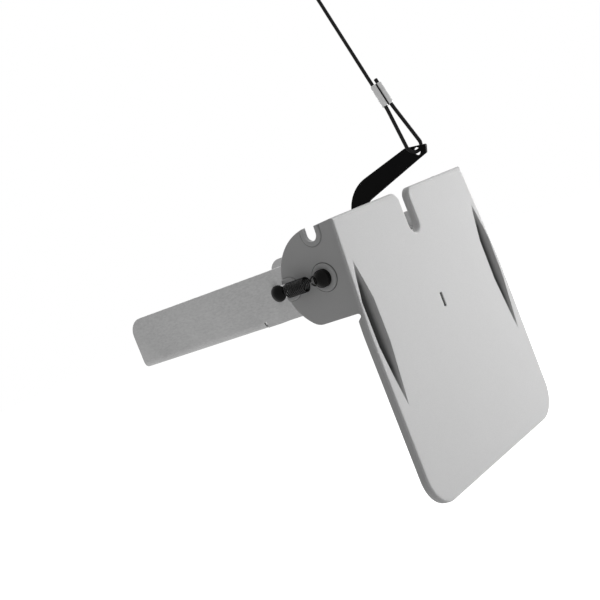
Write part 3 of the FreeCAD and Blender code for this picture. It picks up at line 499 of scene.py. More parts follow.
def closeShell(stacks, topHeight, bottomHeight, spacing, topExtra=None, bottomExtra=None, hollowShade=None):
    # Two filled faces joined along every edge by a stack of loops. Each stack is (levels, points, 3),
    # from the top face's edge to the bottom face's. Gives points, faces and a value for each point: 1 on the
    # worn edges, down to -1 where shade is painted into the top face's hollows.
    points, faces, wear, rims = [], [], [], []
    count = 0
    for stack in stacks:
        levels, around = stack.shape[:2]
        rims.append(count + np.array([np.arange(around), (levels - 1) * around + np.arange(around)]))
        faces += ringQuads(levels, around, count)
        points.append(stack.reshape(-1, 3))
        worn = np.zeros((levels, around))
        worn[1:4] = 1.0
        wear.append(worn.ravel())
        count += levels * around
    for level, height, extra in ((0, topHeight, topExtra), (-1, bottomHeight, bottomExtra)):
        loops = [stack[level][:, :2] for stack in stacks]
        coords, triangles = fillBetween(loops, fillPoints(loops, spacing, extra))
        inner = coords[sum(len(loop) for loop in loops):]
        ids = np.concatenate([*[rim[level] for rim in rims], count + np.arange(len(inner))])
        points.append(addColumn(inner, height(inner)))
        # Painted shade: the top face's hollows get values below zero
        wear.append(-hollowShade(inner) if hollowShade and level == 0 else np.zeros(len(inner)))
        count += len(inner)
        faces += ids[triangles].tolist()
    return np.vstack(points), faces, np.concatenate(wear)


def sheetShell(outline, holes, wall, edge, spacing, rise=None, extra=None, hollowShade=None):
    # A sheet of the given wall about height zero. Its edges are rounded by a quarter circle on both sides,
    # and rise lifts its top face.
    loops = [outline if areaOf(outline) > 0 else outline[::-1]]
    loops += [hole if areaOf(hole) < 0 else hole[::-1] for hole in holes]
    rounding = quarterRound(edge, 4)

    def top(spots):
        return wall / 2 + (rise(spots) if rise else 0.0)

    stacks = []
    for loop in loops:
        rim = top(inwards(loop, edge))
        stack = [addColumn(inwards(loop, inset), rim - drop) for inset, drop in rounding]
        stack += [addColumn(inwards(loop, inset), drop - wall / 2) for inset, drop in rounding[::-1]]
        stacks.append(np.array(stack))
    return closeShell(stacks, top, lambda spots: -wall / 2, spacing, extra, hollowShade=hollowShade)


def turnedShell(profile, middle, side=1, around=64, ease=0.25, flats=0):
    # A profile of (out, radius) points carried round the X direction. Each inner corner gets a small arc, as
    # long as ease or less on short runs. With flats, the outer radius follows a polygon: radius / cos(angle
    # from the nearest flat's middle).
    shortRun, flatsFrom = 0.45, 0.7
    spots = np.array(profile, float)
    line = [spots[:1]]
    for before, here, after in zip(spots[:-2], spots[1:-1], spots[2:]):
        back, on = before - here, after - here
        backLength, onLength = np.linalg.norm(back), np.linalg.norm(on)
        reach = min(ease, backLength * shortRun, onLength * shortRun)
        line.append(easedCorner(here + back / backLength * reach, here, here + on / onLength * reach, 4))
    line = np.vstack([*line, spots[-1:]])
    turn = np.linspace(0, math.tau, around, endpoint=False)
    swell = np.ones(around)
    if flats:
        part = math.tau / flats
        swell = 1 / np.cos((turn + part / 2) % part - part / 2)
    radius = line[:, 1:2] * np.where(line[:, 1:2] > spots[:, 1].max() * flatsFrom, swell, 1.0)
    out = np.repeat(side * line[:, :1], around, 1)
    grid = np.stack([out, radius * np.cos(turn), radius * np.sin(turn)], -1)
    faces = ringQuads(len(line), around)
    if not np.allclose(spots[0], spots[-1]):
        faces += endFaces(len(line), around)
    return grid.reshape(-1, 3) + middle, faces


def joined(shells):
    points, faces, count = [], [], 0
    for shell in shells:
        points.append(shell[0])
        faces += [[count + corner for corner in face] for face in shell[1]]
        count += len(shell[0])
    return np.vstack(points), faces


def sweep(path, radius, around=12, strands=0.0):
    # A round section carried along a path by parallel transport; the ends close with small domes.
    # strands lifts the section by a share of its radius along six slanted ridges.
    slant, uvRepeat, dome = radius * 3.2, radius * 4, radius * 0.3
    path = np.asarray(path, float)
    tangent = np.gradient(path, axis=0)
    tangent /= np.linalg.norm(tangent, axis=1, keepdims=True)
    normal = np.zeros_like(path)
    start = np.cross(tangent[0], [0.3, 0.2, 0.9])
    normal[0] = start / np.linalg.norm(start)
    for index in range(1, len(path)):
        step = normal[index - 1] - tangent[index] * (normal[index - 1] @ tangent[index])
        normal[index] = step / np.linalg.norm(step)
    other = np.cross(tangent, normal)
    turn = np.linspace(0, math.tau, around, endpoint=False)
    length = np.concatenate([[0], np.cumsum(np.linalg.norm(np.diff(path, axis=0), axis=1))])
    lift = 1 + strands * np.abs(np.sin(3 * (turn[None] - length[:, None] / slant)))
    ring = normal[:, None] * np.cos(turn)[:, None] + other[:, None] * np.sin(turn)[:, None]
    points = (path[:, None] + radius * lift[..., None] * ring).reshape(-1, 3)
    tips = np.array([path[0] - tangent[0] * dome, path[-1] + tangent[-1] * dome])
    first, last = np.arange(around), len(points) - around + np.arange(around)
    faces = ringQuads(len(path), around)
    faces += np.stack([np.full(around, len(points)), first, np.roll(first, -1)], 1).tolist()
    faces += np.stack([np.full(around, len(points) + 1), np.roll(last, -1), last], 1).tolist()
    uv = np.stack([np.tile(turn / math.tau, len(path)), np.repeat(length / uvRepeat, around)], 1)
    return np.vstack([points, tips]), faces, np.vstack([uv, [[0, 0], [0, length[-1] / uvRepeat]]])


print("tools ready")


# The plate: pressed face with its rim, in (x, z) from the hinge axis with the height along y

plateSet = {
    "width": 220.0, "top": 41.0, "height": 241.0, "flare": 8.0, "flareDrop": 92.0, "bow": 150.0,
    "corner": 28.0, "topCorner": 1.0, "least": 0.2, "back": 26.0, "wall": 3.0, "bend": 2.4, "edge": 0.5,
    "rim": 6.5, "rimEnd": 97.9, "rimStart": 37.0, "rimFade": 3.0, "topZone": 12.0, "slotZone": 20.0,
    "slotWidth": 15.0, "slotDepth": 37.0, "slotRound": 0.999, "mouth": 9.0, "spacing": 4.0,
    "slitTop": -50.9, "slitFoot": -63.1, "slitHalf": 1.7, "slitRound": 0.3,
}

grooveSet = {
    "middle": 104.0, "top": 4.0, "length": 119.0, "taper": 32.0, "tail": 51.0, "half": 8.5, "tip": 0.7,
    "depth": 6.5, "shallow": 0.1, "valley": 0.006, "lip": 0.04,
    "rows": (0.08, 0.33, 0.66, 0.94, 1.0, 1.06), "rowStep": 1.6,
    # Painted shade in the grooves: the valley's bell, the film over the flanks, its reach and its fade
    "shadeWidth": 0.36, "shadeFilm": 0.6, "filmReach": 1.1, "shadeFade": 1.6,
}


def plateCorners(inset):
    # Clockwise from the slot's foot
    p = plateSet
    half = p["width"] / 2 - inset
    wide = half + p["flare"]
    top, foot = p["top"] - inset, p["top"] - p["height"] + inset
    slot = p["slotWidth"] / 2 + inset
    right = [
        (slot, p["top"] - p["slotDepth"] - inset, slot * p["slotRound"]),
        (slot, top, max(p["least"], p["mouth"] - inset)),
        (half, top, max(p["least"], p["topCorner"] - inset)),
        (wide, p["top"] - p["flareDrop"], p["bow"]),
        (wide, foot, p["corner"] - inset),
    ]
    return right + [(-x, z, radius) for x, z, radius in reversed(right)]


def grooveShape(heights):
    # Half width and depth of a groove at each height: straight tapers to its two tips
    g = grooveSet
    low = g["top"] - g["length"]
    stops = [low, low + g["tail"], g["top"] - g["taper"], g["top"]]
    half = np.interp(heights, stops, [g["tip"], g["half"], g["half"], g["tip"]])
    depth = np.interp(heights, stops, [g["shallow"], g["depth"], g["depth"], g["shallow"]])
    return half, np.where((heights < low) | (heights > g["top"]), 0.0, depth)


def grooveShare(spots):
    # Distance from the valley as a share of the half width, and the groove's depth
    half, depth = grooveShape(spots[:, 1])
    return np.abs(np.abs(spots[:, 0]) - grooveSet["middle"]) / half, depth


def grooveDip(spots):
    # V across, with a slightly rounded valley
    share, depth = grooveShare(spots)
    lip = grooveSet["lip"] * (1 - share)
    return depth * np.clip(1 - np.sqrt(share ** 2 + grooveSet["valley"]) + lip, 0, 1)


def grooveShade(spots):
    # Painted shade along the valley: a bell across it on a thin film over the flanks, less in a shallow
    # groove
    g = grooveSet
    share, depth = grooveShare(spots)
    film = g["shadeFilm"] * np.clip(g["filmReach"] - share, 0, 1)
    bell = np.exp(-(share / g["shadeWidth"]) ** 2)
    return np.clip(film + bell, 0, 1) * np.clip(depth / g["depth"] * g["shadeFade"], 0, 1)


def grooveLines(limit):
    # Rows of points along the valley, the flanks and both lips, up to a limit of x at each height
    g = grooveSet
    heights = np.arange(g["top"] - g["length"], g["top"], g["rowStep"])
    half, _ = grooveShape(heights)
    rows = []
    for share in [-share for share in g["rows"][::-1]] + [0.0, *g["rows"]]:
        x = g["middle"] + share * half
        rows.append(np.stack([x, heights], 1)[x < limit(heights)])
    rows = np.vstack(rows)
    return np.vstack([rows, rows * [-1, 1]])


def makePlateFace():
    p = plateSet
    wall, edge, bend, soft = p["wall"], p["edge"], p["bend"], p["edge"] * 0.3
    rear, front = -p["back"], -p["back"] + p["wall"]
    _, counts = roundCorners(plateCorners(0))

    def ring(inset):
        return roundCorners(plateCorners(inset), counts)[0][::-1]

    x, z = np.abs(ring(0)[:, 0]), ring(0)[:, 1]
    topRim = smoothStep(p["rimEnd"] - x, -1.0, 1.0)
    sideRim = smoothStep(-p["rimStart"] - z, 0.0, p["rimFade"])
    hasRim = np.where(z > p["top"] - p["topZone"], topRim, sideRim)
    hasRim = np.where(x < p["slotZone"], 1.0, hasRim)
    end = front + hasRim * (p["rim"] - wall)

    def rimFoot(height):
        return np.where(hasRim > 0.05, np.minimum(end, front + height), front)

    levels = [(inset, rear + drop) for inset, drop in quarterRound(bend, 6)]
    levels += [
        (0.0, end - edge), (soft, end - soft), (edge, end), (wall - edge, end),
        (wall - soft, np.maximum(end - soft, front)), (wall, np.maximum(end - edge, front)),
        (wall + 0.1, rimFoot(1.0)), (wall + 0.4, rimFoot(0.4)), (wall + 1.0, rimFoot(0.0)),
    ]
    stack = [addColumn(ring(inset), height + grooveDip(ring(inset))) for inset, height in levels]
    slit = roundedBox((-p["slitHalf"], p["slitTop"]), (p["slitHalf"], p["slitFoot"]), p["slitRound"])
    slitLevels = ((0.4, rear), (0.1, rear + 0.1), (0.0, rear + 0.4), (0.0, front - 0.3), (0.3, front))
    slitStack = [addColumn(inwards(slit, inset), height) for inset, height in slitLevels]

    def inside(gap):
        # The side's x at each height, less the gap
        stops, half = [p["top"] - p["flareDrop"], p["top"]], p["width"] / 2 - gap
        return lambda heights: np.interp(heights, stops, [half + p["flare"], half])

    # The rear face's grooves get painted shade
    points, faces, wear = closeShell(
        [np.array(stack), np.array(slitStack)], lambda spots: rear + grooveDip(spots),
        lambda spots: front + grooveDip(spots), p["spacing"], grooveLines(inside(bend + 0.5)),
        grooveLines(inside(wall + 1.8)), grooveShade)
    return points[:, [0, 2, 1]] + hinge, faces, wear


earSet = {
    "radius": 41.0, "drop": 35.0, "blend": 14.0, "root": -23.95, "rootAhead": 5.1, "rootRound": 3.0,
    "inner": 107.0, "wall": 3.0, "edge": 0.45, "bore": 7.07, "seat": 34.6, "notchHalf": 5.4,
    "turns": (0.0, 94.0), "rimWidth": 4.2, "rimRise": 1.2, "rimSlope": 1.0,
    "ringRadius": 11.5, "ringRise": 1.5, "ringSlope": 0.8, "arcPoints": 28, "spacing": 3.0, "rowStep": 1.1,
    "ringRows": (8.6, 10.2, 10.7, 11.1, 11.5, 12.2), "rimRows": (1.6, 3.2, 3.5, 3.8, 4.2, 4.9),
    # Painted shade at the feet of the rims and the ring: its strength and reach
    "dust": 6.0, "shadeReach": 0.35,
}


def notchPoints(degrees):
    # A U that opens outwards, with its mouth just inside the ear's round edge
    e = earSet
    half = e["notchHalf"]
    reach = math.sqrt(e["radius"] ** 2 - half ** 2)
    cup = arc((e["seat"], 0), half, math.pi / 2, math.pi * 1.5, 17)
    legs = np.linspace([reach, half], cup[0], 6)[:-1], np.linspace(cup[-1], [reach, -half], 6)[1:]
    return turned(np.vstack([legs[0], cup, legs[1]]), degrees)


def earOutline():
    # Round about the hinge axis from behind the top notch to the lower edge, with both notches cut in
    e = earSet
    reach, lift = e["radius"] - e["blend"], -e["drop"] + e["blend"]
    ahead = math.sqrt(reach ** 2 - lift ** 2)
    low = math.atan2(lift, ahead)
    half = math.asin(e["notchHalf"] / e["radius"])
    front, raised = np.radians(e["turns"])

    def rounded(start, end):
        return arc((0, 0), e["radius"], start, end, max(4, int(abs(start - end) * e["arcPoints"])))

    foot = -e["drop"] - e["rootRound"]
    rootMiddle = (e["root"] + e["rootAhead"] + e["rootRound"], foot)
    root = arc(rootMiddle, e["rootRound"], math.pi, math.pi / 2, 6)
    blend = arc((ahead, lift), e["blend"], -math.pi / 2, low, 14)
    topLeft, bottomLeft = [e["root"], e["radius"]], [e["root"], foot]
    notchEnd = rounded(raised + half, raised + half)[0]
    return np.vstack([
        bottomLeft, root, np.linspace(root[-1], blend[0], 22)[1:-1], blend[:-1],
        rounded(low, front - half)[:-1], notchPoints(e["turns"][0])[::-1],
        rounded(front + half, raised - half)[1:-1], notchPoints(e["turns"][1])[::-1],
        np.linspace(notchEnd, topLeft, 14)[1:-1], topLeft, np.linspace(topLeft, bottomLeft, 30)[1:-1],
    ])


def earRise(spots):
    # Raised rims round the notches and a raised ring round the bore, with soft shoulders
    e = earSet
    lift = np.zeros(len(spots))
    for degrees in e["turns"]:
        local = turned(spots, -degrees)
        distance = np.hypot(np.minimum(local[:, 0] - e["seat"], 0), local[:, 1]) - e["notchHalf"]
        rim = 1 - smoothStep(distance, e["rimWidth"] - e["rimSlope"], e["rimWidth"])
        lift = np.maximum(lift, e["rimRise"] * rim)
    distance = np.hypot(spots[:, 0], spots[:, 1])
    ring = 1 - smoothStep(distance, e["ringRadius"] - e["ringSlope"], e["ringRadius"])
    return np.maximum(lift, e["ringRise"] * ring)


def earShade(spots):
    # Painted shade along the foot of the rims and of the ring: where the rise around a point is more than
    # its own
    around = [earRise(spots + step) for step in circle(earSet["shadeReach"], 8)]
    return np.clip((np.mean(around, 0) - earRise(spots)) * earSet["dust"], 0, 1)


def earLines():
    # Rows of points along the slopes of the ring and of the rims
    e = earSet
    lines = [circle(radius, 60) for radius in e["ringRows"]]
    run = np.arange(e["seat"], e["radius"], e["rowStep"])
    for degrees in e["turns"]:
        for gap in e["rimRows"]:
            half = e["notchHalf"] + gap
            cup = arc((e["seat"], 0), half, math.pi / 2, math.pi * 1.5, 26)
            legs = addColumn(run, half), addColumn(run, -half)
            lines.append(turned(np.vstack([cup, *legs]), degrees))
    return np.vstack(lines)


def makeEar(side):
    # Its root follows the groove in the plate's face
    e = earSet
    bore = circle(e["bore"], 56)
    points, faces, wear = sheetShell(
        earOutline(), [bore], e["wall"], e["edge"], e["spacing"], earRise, earLines(), earShade)
    out = side * (e["inner"] + e["wall"] / 2 + points[:, 2])
    ahead = np.maximum(points[:, 0], e["root"] + grooveDip(np.column_stack([out, points[:, 1]])))
    return np.column_stack([out, ahead, points[:, 1]]) + hinge, faces, wear


def makePlate():
    shells = [makePlateFace()] + [makeEar(side) for side in sides.values()]
    wear = np.concatenate([shell[2] for shell in shells])
    addPiece("trollingPlate", *joined(shells), "platePaint", "plate", wear=wear)


makePlate()
print("plate made")


# The arms: a flat pattern in (y, run down the section), then joggled and folded

armSet = {
    "front": 79.0, "height": 43.5, "wall": 2.5, "webOut": 105.4, "joggle": 4.0, "joggleStart": -90.6,
    "joggleEnd": -81.4, "nose": 14.0, "heelRound": 20.6, "heelTurn": 135.0, "bend": 2.5,
    "flangeEdge": 79.4, "flangeRear": -65.0, "relief": 3.0, "slotTravel": 11.0, "bore": 5.05,
    "studBore": 3.05, "studAhead": 44.3, "boltAcross": 94.4, "boltAlong": 45.0, "boltLength": 16.0,
    "boltWidth": 6.6, "endShare": 0.99, "edge": 0.4, "spacing": 3.6, "edgeStep": 2.0,
    "bendRows": (0.8, 0.5, 2.4), "joggleRows": (0.8, 0.0, 2.2), "jogglePast": 0.5,  # from, short of, step
}

armAhead = armSet["webOut"] + armSet["joggle"] - armSet["wall"] / 2  # web's middle, ahead of the joggle
armStraight = armSet["height"] - armSet["bend"] - armSet["wall"]  # run of the web above the bend
armMiddle = armSet["bend"] + armSet["wall"] / 2  # radius of the bend's middle line
armQuarter = armMiddle * math.pi / 2


def flangeRun(across):
    # Run down the section to a place on the flange, given by its distance from the part's middle
    return armStraight + armQuarter + armAhead - armMiddle - across


def armFold(points, side):
    # Runs down the web, round a quarter bend of the middle line and in along the flange. The joggle is a
    # smooth step, 3s^2 - 2s^3, so its slope is 6s(1 - s). Height is along the sheet's normal.
    a = armSet
    y, run, height = points.T
    length = a["joggleEnd"] - a["joggleStart"]
    share = np.clip((y - a["joggleStart"]) / length, 0, 1)
    lean = np.arctan(6 * share * (1 - share) * a["joggle"] / length)
    shift = smoothStep(y, a["joggleStart"], a["joggleEnd"])
    webX = armAhead - a["joggle"] * (1 - shift) + height * np.cos(lean)
    webY = y - height * np.sin(lean)
    past = np.where(y > a["flangeRear"] - 1.0, run - armStraight, -1.0)
    turn = np.clip(past, 0, armQuarter) / armMiddle
    beyond = np.maximum(past - armQuarter, 0)
    bendX = armAhead - armMiddle + (armMiddle + height) * np.cos(turn) - beyond
    bendZ = a["bend"] + a["wall"] - (armMiddle + height) * np.sin(turn)
    web = np.column_stack([side * webX, webY, a["height"] - run])
    return np.where((past > 0)[:, None], np.column_stack([side * bendX, y, bendZ]), web)


def armOutline():
    # Nose, flange, relief cut, lower edge, heel about the axle and upper edge
    a = armSet
    axle = (hinge[1], a["height"] - hinge[2])
    over = math.sqrt(a["heelRound"] ** 2 - axle[1] ** 2)
    heelStart, heelEnd = math.atan2(-axle[1], -over), math.radians(a["heelTurn"]) - math.tau
    heel = arc(axle, a["heelRound"], heelStart, heelEnd, 40)
    nose = arc((a["front"] - a["nose"], a["nose"]), a["nose"], -math.pi / 2, 0, 12)
    toe = heel[-1][0] + a["height"] - heel[-1][1]
    flange, relief = flangeRun(a["flangeEdge"]), a["flangeRear"] - a["relief"]
    stops = [
        nose[-1], (a["front"], flange), (a["flangeRear"], flange), (a["flangeRear"], armStraight),
        (relief, armStraight), (relief, a["height"]), (toe, a["height"]), heel[-1],
    ]
    line = [nose]
    for one, two in zip(stops[:-1], stops[1:]):
        count = max(2, int(math.dist(one, two) / a["edgeStep"]))
        line.append(np.linspace(one, two, count + 1)[1:])
    return np.vstack([*line, heel[::-1][1:], np.linspace(heel[0], nose[0], 90)[1:-1]])


def armHoles():
    # The axle's slot, two bolt slots and the stud's hole
    a = armSet
    y, run, bore = hinge[1], a["height"] - hinge[2], a["bore"]
    across, half, wide = flangeRun(a["boltAcross"]), a["boltLength"] / 2, a["boltWidth"] / 2
    holes = [
        roundedBox((y - a["slotTravel"] - bore, run - bore), (y + bore, run + bore), bore * a["endShare"]),
        circle(a["studBore"], 28, (y + a["studAhead"], run)),
    ]
    for along in (-a["boltAlong"], a["boltAlong"]):
        start, end = (along - wide, across - half), (along + wide, across + half)
        holes.append(roundedBox(start, end, wide * a["endShare"]))
    return holes


def armLines():
    # Rows of points along the bend and across the joggle
    a = armSet
    (rear, front, step), (top, foot, drop) = a["bendRows"], a["joggleRows"]
    ys = np.arange(a["flangeRear"] + rear, a["front"] - front, step)
    runs = np.arange(top, a["height"] - foot, drop)
    bends = armStraight + np.linspace(0, armQuarter, 7)
    joggles = np.linspace(a["joggleStart"] - a["jogglePast"], a["joggleEnd"] + a["jogglePast"], 13)
    lines = [addColumn(ys, run) for run in bends]
    lines += [addColumn(runs, y)[:, ::-1] for y in joggles]
    return np.vstack(lines)


def makeArm(name, side):
    a = armSet
    points, faces, wear = sheetShell(
        armOutline(), armHoles(), a["wall"], a["edge"], a["spacing"], extra=armLines())
    addPiece(name, armFold(points, side), faces, "armSteel", "arms", wear=wear)


for name, side in sides.items():
    makeArm(name + "Arm", side)
print("arms made")


# The lever, in (y, z) from the hinge axis. A corner's last number is its radius

leverSet = {
    "wall": 3.2, "edge": 0.5, "spacing": 3.0, "half": 9.5, "bore": 5.05, "eyelet": (-53.7, 65.3),
    "eyeletRadius": 3.3, "back": -26.0, "seat": -22.9, "tabTop": -51.0, "tabFoot": -63.0, "tabRound": 0.5,
    "seatRound": 0.3, "shoulder": (9.0, 2.0), "heel": (5.0, 8.0),  # past the tab, with the radius
    "behindAxle": ((-12.0, 25.0), (4.0, 20.0)), "aheadOfAxle": (-4.0, 25.0),  # heights, with the radius
    "crook": ((12.5, 28.0, 10.0), (11.0, 40.1, 10.0)),  # inner edge, from the axle up
    "tip": ((1.4, -6.4, 3.0), (-7.4, -3.9, 1.2), (-9.9, 3.1, 1.2), (10.1, 6.0, 4.0)),  # from the eyelet
    "knee": ((20.7, 56.6, 34.0), (31.2, 27.6, 20.0)),  # outer edge, from the tip down
}


def leverOutline():
    v = leverSet
    half, seat, top, foot = v["half"], v["seat"], v["tabTop"], v["tabFoot"]
    (shoulder, shoulderRound), (heel, heelRound), (y, z) = v["shoulder"], v["heel"], v["eyelet"]
    return roundCorners([
        (v["back"], foot, v["tabRound"]), (v["back"], top, v["tabRound"]), (seat, top, v["seatRound"]),
        (seat, top + shoulder, shoulderRound), *[(-half, *corner) for corner in v["behindAxle"]],
        *v["crook"], *[(y + ahead, z + up, radius) for ahead, up, radius in v["tip"]], *v["knee"],
        (half, *v["aheadOfAxle"]), (-half, foot - heel, heelRound), (seat, foot - shoulder, shoulderRound),
        (seat, foot, v["seatRound"]),
    ])[0]


def makeLever():
    v = leverSet
    holes = [circle(v["bore"], 40), circle(v["eyeletRadius"], 32, v["eyelet"])]
    points, faces, wear = sheetShell(leverOutline(), holes, v["wall"], v["edge"], v["spacing"])
    addPiece("liftLever", points[:, [2, 0, 1]] + hinge, faces, "leverPaint", "plate", "lever", wear)


makeLever()
print("lever made")


# Turned pieces of the hinge and the latch, as (out, radius) profiles along X

turnedSet = {
    "axleRadius": 5.0, "fit": 0.05, "press": 0.02, "webIn": 102.9, "webOut": 105.4, "earIn": 107.0,
    "ringOut": 111.5, "seatGap": 0.2, "neck": 1.9, "neckRadius": 3.0, "spigot": 3.0, "middle": 0.01,
    "washer": 1.2, "washerRadius": 9.0, "clip": 1.0, "clipGroove": 4.2, "clipRadius": 8.0, "clipGap": 35.0,
    "clipEdge": 0.12, "bush": 2.0, "bushFlange": 1.2, "bushFlangeRadius": 10.0, "collarIn": 1.8,
    "collarOut": 9.8, "collarRadius": 9.0, "collarEase": 0.8, "studAhead": 44.3, "studRadius": 3.0,
    "studNeck": 2.4, "shoulder": 1.2, "shoulderRadius": 5.5, "tail": 7.5, "tailChamfer": (0.5, 0.4),
    "studWasher": 1.0, "studWasherRadius": 6.4, "nut": 5.0, "nutFlats": 10.0, "nutFace": (0.93, 0.6),
    "nutSeat": (0.95, 0.4), "capHeight": 5.2, "capShoulder": 1.8, "capLip": 0.3, "capEase": 0.35,
    "capBlind": 0.1, "capDome": 0.96, "axleCapRadius": 7.2, "studCapRadius": 6.8,
}

neckStart = turnedSet["ringOut"] + turnedSet["seatGap"]
neckEnd = neckStart + turnedSet["neck"]
spigotEnd = neckEnd + turnedSet["spigot"]
washerOut = turnedSet["webIn"] - turnedSet["seatGap"]
washerIn = washerOut - turnedSet["washer"]


def tubeProfile(start, end, bore, radius):
    return [(start, bore), (start, radius), (end, radius), (end, bore), (start, bore)]


def domeProfile(radius):
    # Cap from its open mouth round a lip and a shallow groove up over the dome to the crown
    t = turnedSet
    crown, shoulder = neckEnd + t["capHeight"], neckEnd + t["capShoulder"]
    rise = crown - shoulder
    dome = (radius ** 2 + rise ** 2) / (2 * rise)
    cap = arc((crown - dome, 0), dome, math.asin(radius / dome) * t["capDome"], 0.0, 14)
    seat = spigotEnd + t["capBlind"]
    mouth = [(seat, t["middle"]), (seat, t["neckRadius"]), (neckEnd, t["neckRadius"]),
             (neckEnd, radius - t["capLip"]), (neckEnd + t["capLip"], radius), (shoulder, radius)]
    return [*mouth, *cap[:-1], (crown, t["middle"])]


def clipShell(side):
    # A flat ring with a gap at its foot, in the axle's groove
    t = turnedSet
    gap = math.radians(t["clipGap"])
    first, last = gap - math.pi / 2, math.pi * 1.5 - gap
    outer = arc((0, 0), t["clipRadius"], first, last, 60)
    inner = arc((0, 0), t["clipGroove"] + t["press"], last, first, 60)
    points, faces, _ = sheetShell(np.vstack([outer, inner]), [], t["clip"], t["clipEdge"], 1.5)
    out = side * (washerIn - t["clip"] / 2 + points[:, 2])
    return np.column_stack([out, points[:, :2]]) + hinge, faces


def addPair(name, finish, body, profile, middle, **options):
    # One piece of two like turned shells, one on each side
    shells = [turnedShell(profile, middle, side, **options) for side in sides.values()]
    addPiece(name, *joined(shells), finish, body)


def makeHinge():
    t = turnedSet
    axle, loose, bore = t["axleRadius"], t["axleRadius"] + t["press"], t["axleRadius"] + t["fit"]
    flangeIn, bushOut = t["earIn"] - t["bushFlange"], bore + t["bush"]
    half = [
        (washerIn - t["clip"], axle), (washerIn - t["clip"], t["clipGroove"]), (washerIn, t["clipGroove"]),
        (washerIn, axle), (neckStart, axle), (neckStart, t["neckRadius"]), (spigotEnd, t["neckRadius"]),
        (spigotEnd, t["middle"]),
    ]
    profile = [(-out, radius) for out, radius in reversed(half)] + half
    addPiece("crossAxle", *turnedShell(profile, hinge), "turnedSteel", "hinge")
    bush = [
        (flangeIn, bore), (flangeIn, t["bushFlangeRadius"]), (t["earIn"], t["bushFlangeRadius"]),
        (t["earIn"], bushOut), (t["ringOut"], bushOut), (t["ringOut"], bore), (flangeIn, bore),
    ]
    collar = tubeProfile(t["collarIn"], t["collarOut"], loose, t["collarRadius"])
    for name, side in sides.items():
        addPiece(name + "Bush", *turnedShell(bush, hinge, side), "blackNylon", "plate")
        shell = turnedShell(collar, hinge, side, ease=t["collarEase"])
        addPiece(name + "LeverCollar", *shell, "blackNylon", "hinge")
    washer = tubeProfile(washerIn, washerOut, loose, t["washerRadius"])
    addPair("axleWashers", "turnedSteel", "hinge", washer, hinge)
    clips = joined([clipShell(side) for side in sides.values()])
    addPiece("retainingClips", *clips, "turnedSteel", "hinge")
    addPair("axleCaps", "capPlastic", "hinge", domeProfile(t["axleCapRadius"]), hinge, ease=t["capEase"])


def makeLatch():
    t = turnedSet
    place = hinge + [0, t["studAhead"], 0]
    radius, loose, flat = t["studRadius"], t["studRadius"] + t["press"], t["nutFlats"] / 2
    shoulderOut, tail = t["webOut"] + t["shoulder"], t["webIn"] - t["tail"]
    nutOut = t["webIn"] - t["studWasher"]
    nutIn = nutOut - t["nut"]
    (chamfer, drop), (face, faceRun), (foot, footRun) = t["tailChamfer"], t["nutFace"], t["nutSeat"]
    stud = [
        (tail, t["middle"]), (tail, radius - drop), (tail + chamfer, radius), (t["webOut"], radius),
        (t["webOut"], t["shoulderRadius"]), (shoulderOut, t["shoulderRadius"]), (shoulderOut, radius),
        (neckStart, radius), (neckStart, t["studNeck"]), (neckEnd, t["studNeck"]),
        (neckEnd, t["neckRadius"]),
        (spigotEnd, t["neckRadius"]), (spigotEnd, t["middle"]),
    ]
    washer = tubeProfile(nutOut, t["webIn"], loose, t["studWasherRadius"])
    nut = [
        (nutIn, loose), (nutIn, flat * face), (nutIn + faceRun, flat), (nutOut - footRun, flat),
        (nutOut, flat * foot), (nutOut, loose), (nutIn, loose),
    ]
    addPair("latchStuds", "turnedSteel", "arms", stud, place)
    addPair("studCaps", "capPlastic", "arms", domeProfile(t["studCapRadius"]), place, ease=t["capEase"])
    addPair("studWashers", "turnedSteel", "arms", washer, place)
    addPair("studNuts", "turnedSteel", "arms", nut, place, around=96, ease=0.15, flats=6)


makeHinge()
makeLatch()
print("turned pieces made")


# The springs: a stretched helix with a hook round the axle's neck and one round the stud's

springSet = {
    "out": 112.65, "wire": 1.2, "coil": 12.2, "start": 12.6, "ahead": 44.3, "turns": 11, "turnPoints": 28,
    "hook": 3.75, "gap": 0.7, "blendPast": 1.0,
}


def springPath(side):
    # Hook round the axle, helix about a line beside the necks, and hook round the stud
    s = springSet
    radius = s["coil"] / 2 - s["wire"] / 2
    reach = s["start"] - s["hook"] - s["gap"]
    share = np.linspace(0, 1, s["turns"] * s["turnPoints"])
    turn = share * s["turns"] * math.tau
    along = s["start"] + share * (s["ahead"] - 2 * s["start"])
    helix = np.stack([s["out"] + radius - radius * np.cos(turn), along, radius * np.sin(turn)], 1)

    def hook(eye, away):
        # A long eye: from its free end by the coil, back along one side, round the pin and up to the coil
        bends = ((reach, -18, -90, 10), (0.0, -90, -270, 22), (reach, 90, 8, 12))
        flat = np.vstack([arc((middle, 0), s["hook"], math.radians(start), math.radians(end), count)
                          for middle, start, end, count in bends])
        return addColumn(flat * [away, 1] + [eye, 0], s["out"])[:, [2, 0, 1]]

    path = np.vstack([hook(0, 1), helix, hook(s["ahead"], -1)[::-1]])
    return path * [side, 1, 1] + hinge


def makeSprings():
    s = springSet
    for name, side in sides.items():
        points, faces, uv = sweep(springPath(side), s["wire"] / 2, 10)
        item = addPiece(name + "Spring", points, faces, "springSteel", None, uv=uv)
        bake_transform(item)


makeSprings()
print("springs made")


# The lift cable, its eyes and ferrules. Local z runs along the cable from the lever's eyelet

cableSet = {
    "eyelet": (0.0, -192.7, 89.3), "lean": 13.0, "turn": 35.0, "diameter": 3.1, "strands": 0.05, "bend": 6.5,
    "eye": 45.0, "ease": 12.0, "apart": 2.6, "tail": 4.0, "run": 95.0, "lead": 16.0, "fineness": (5, 24),
}

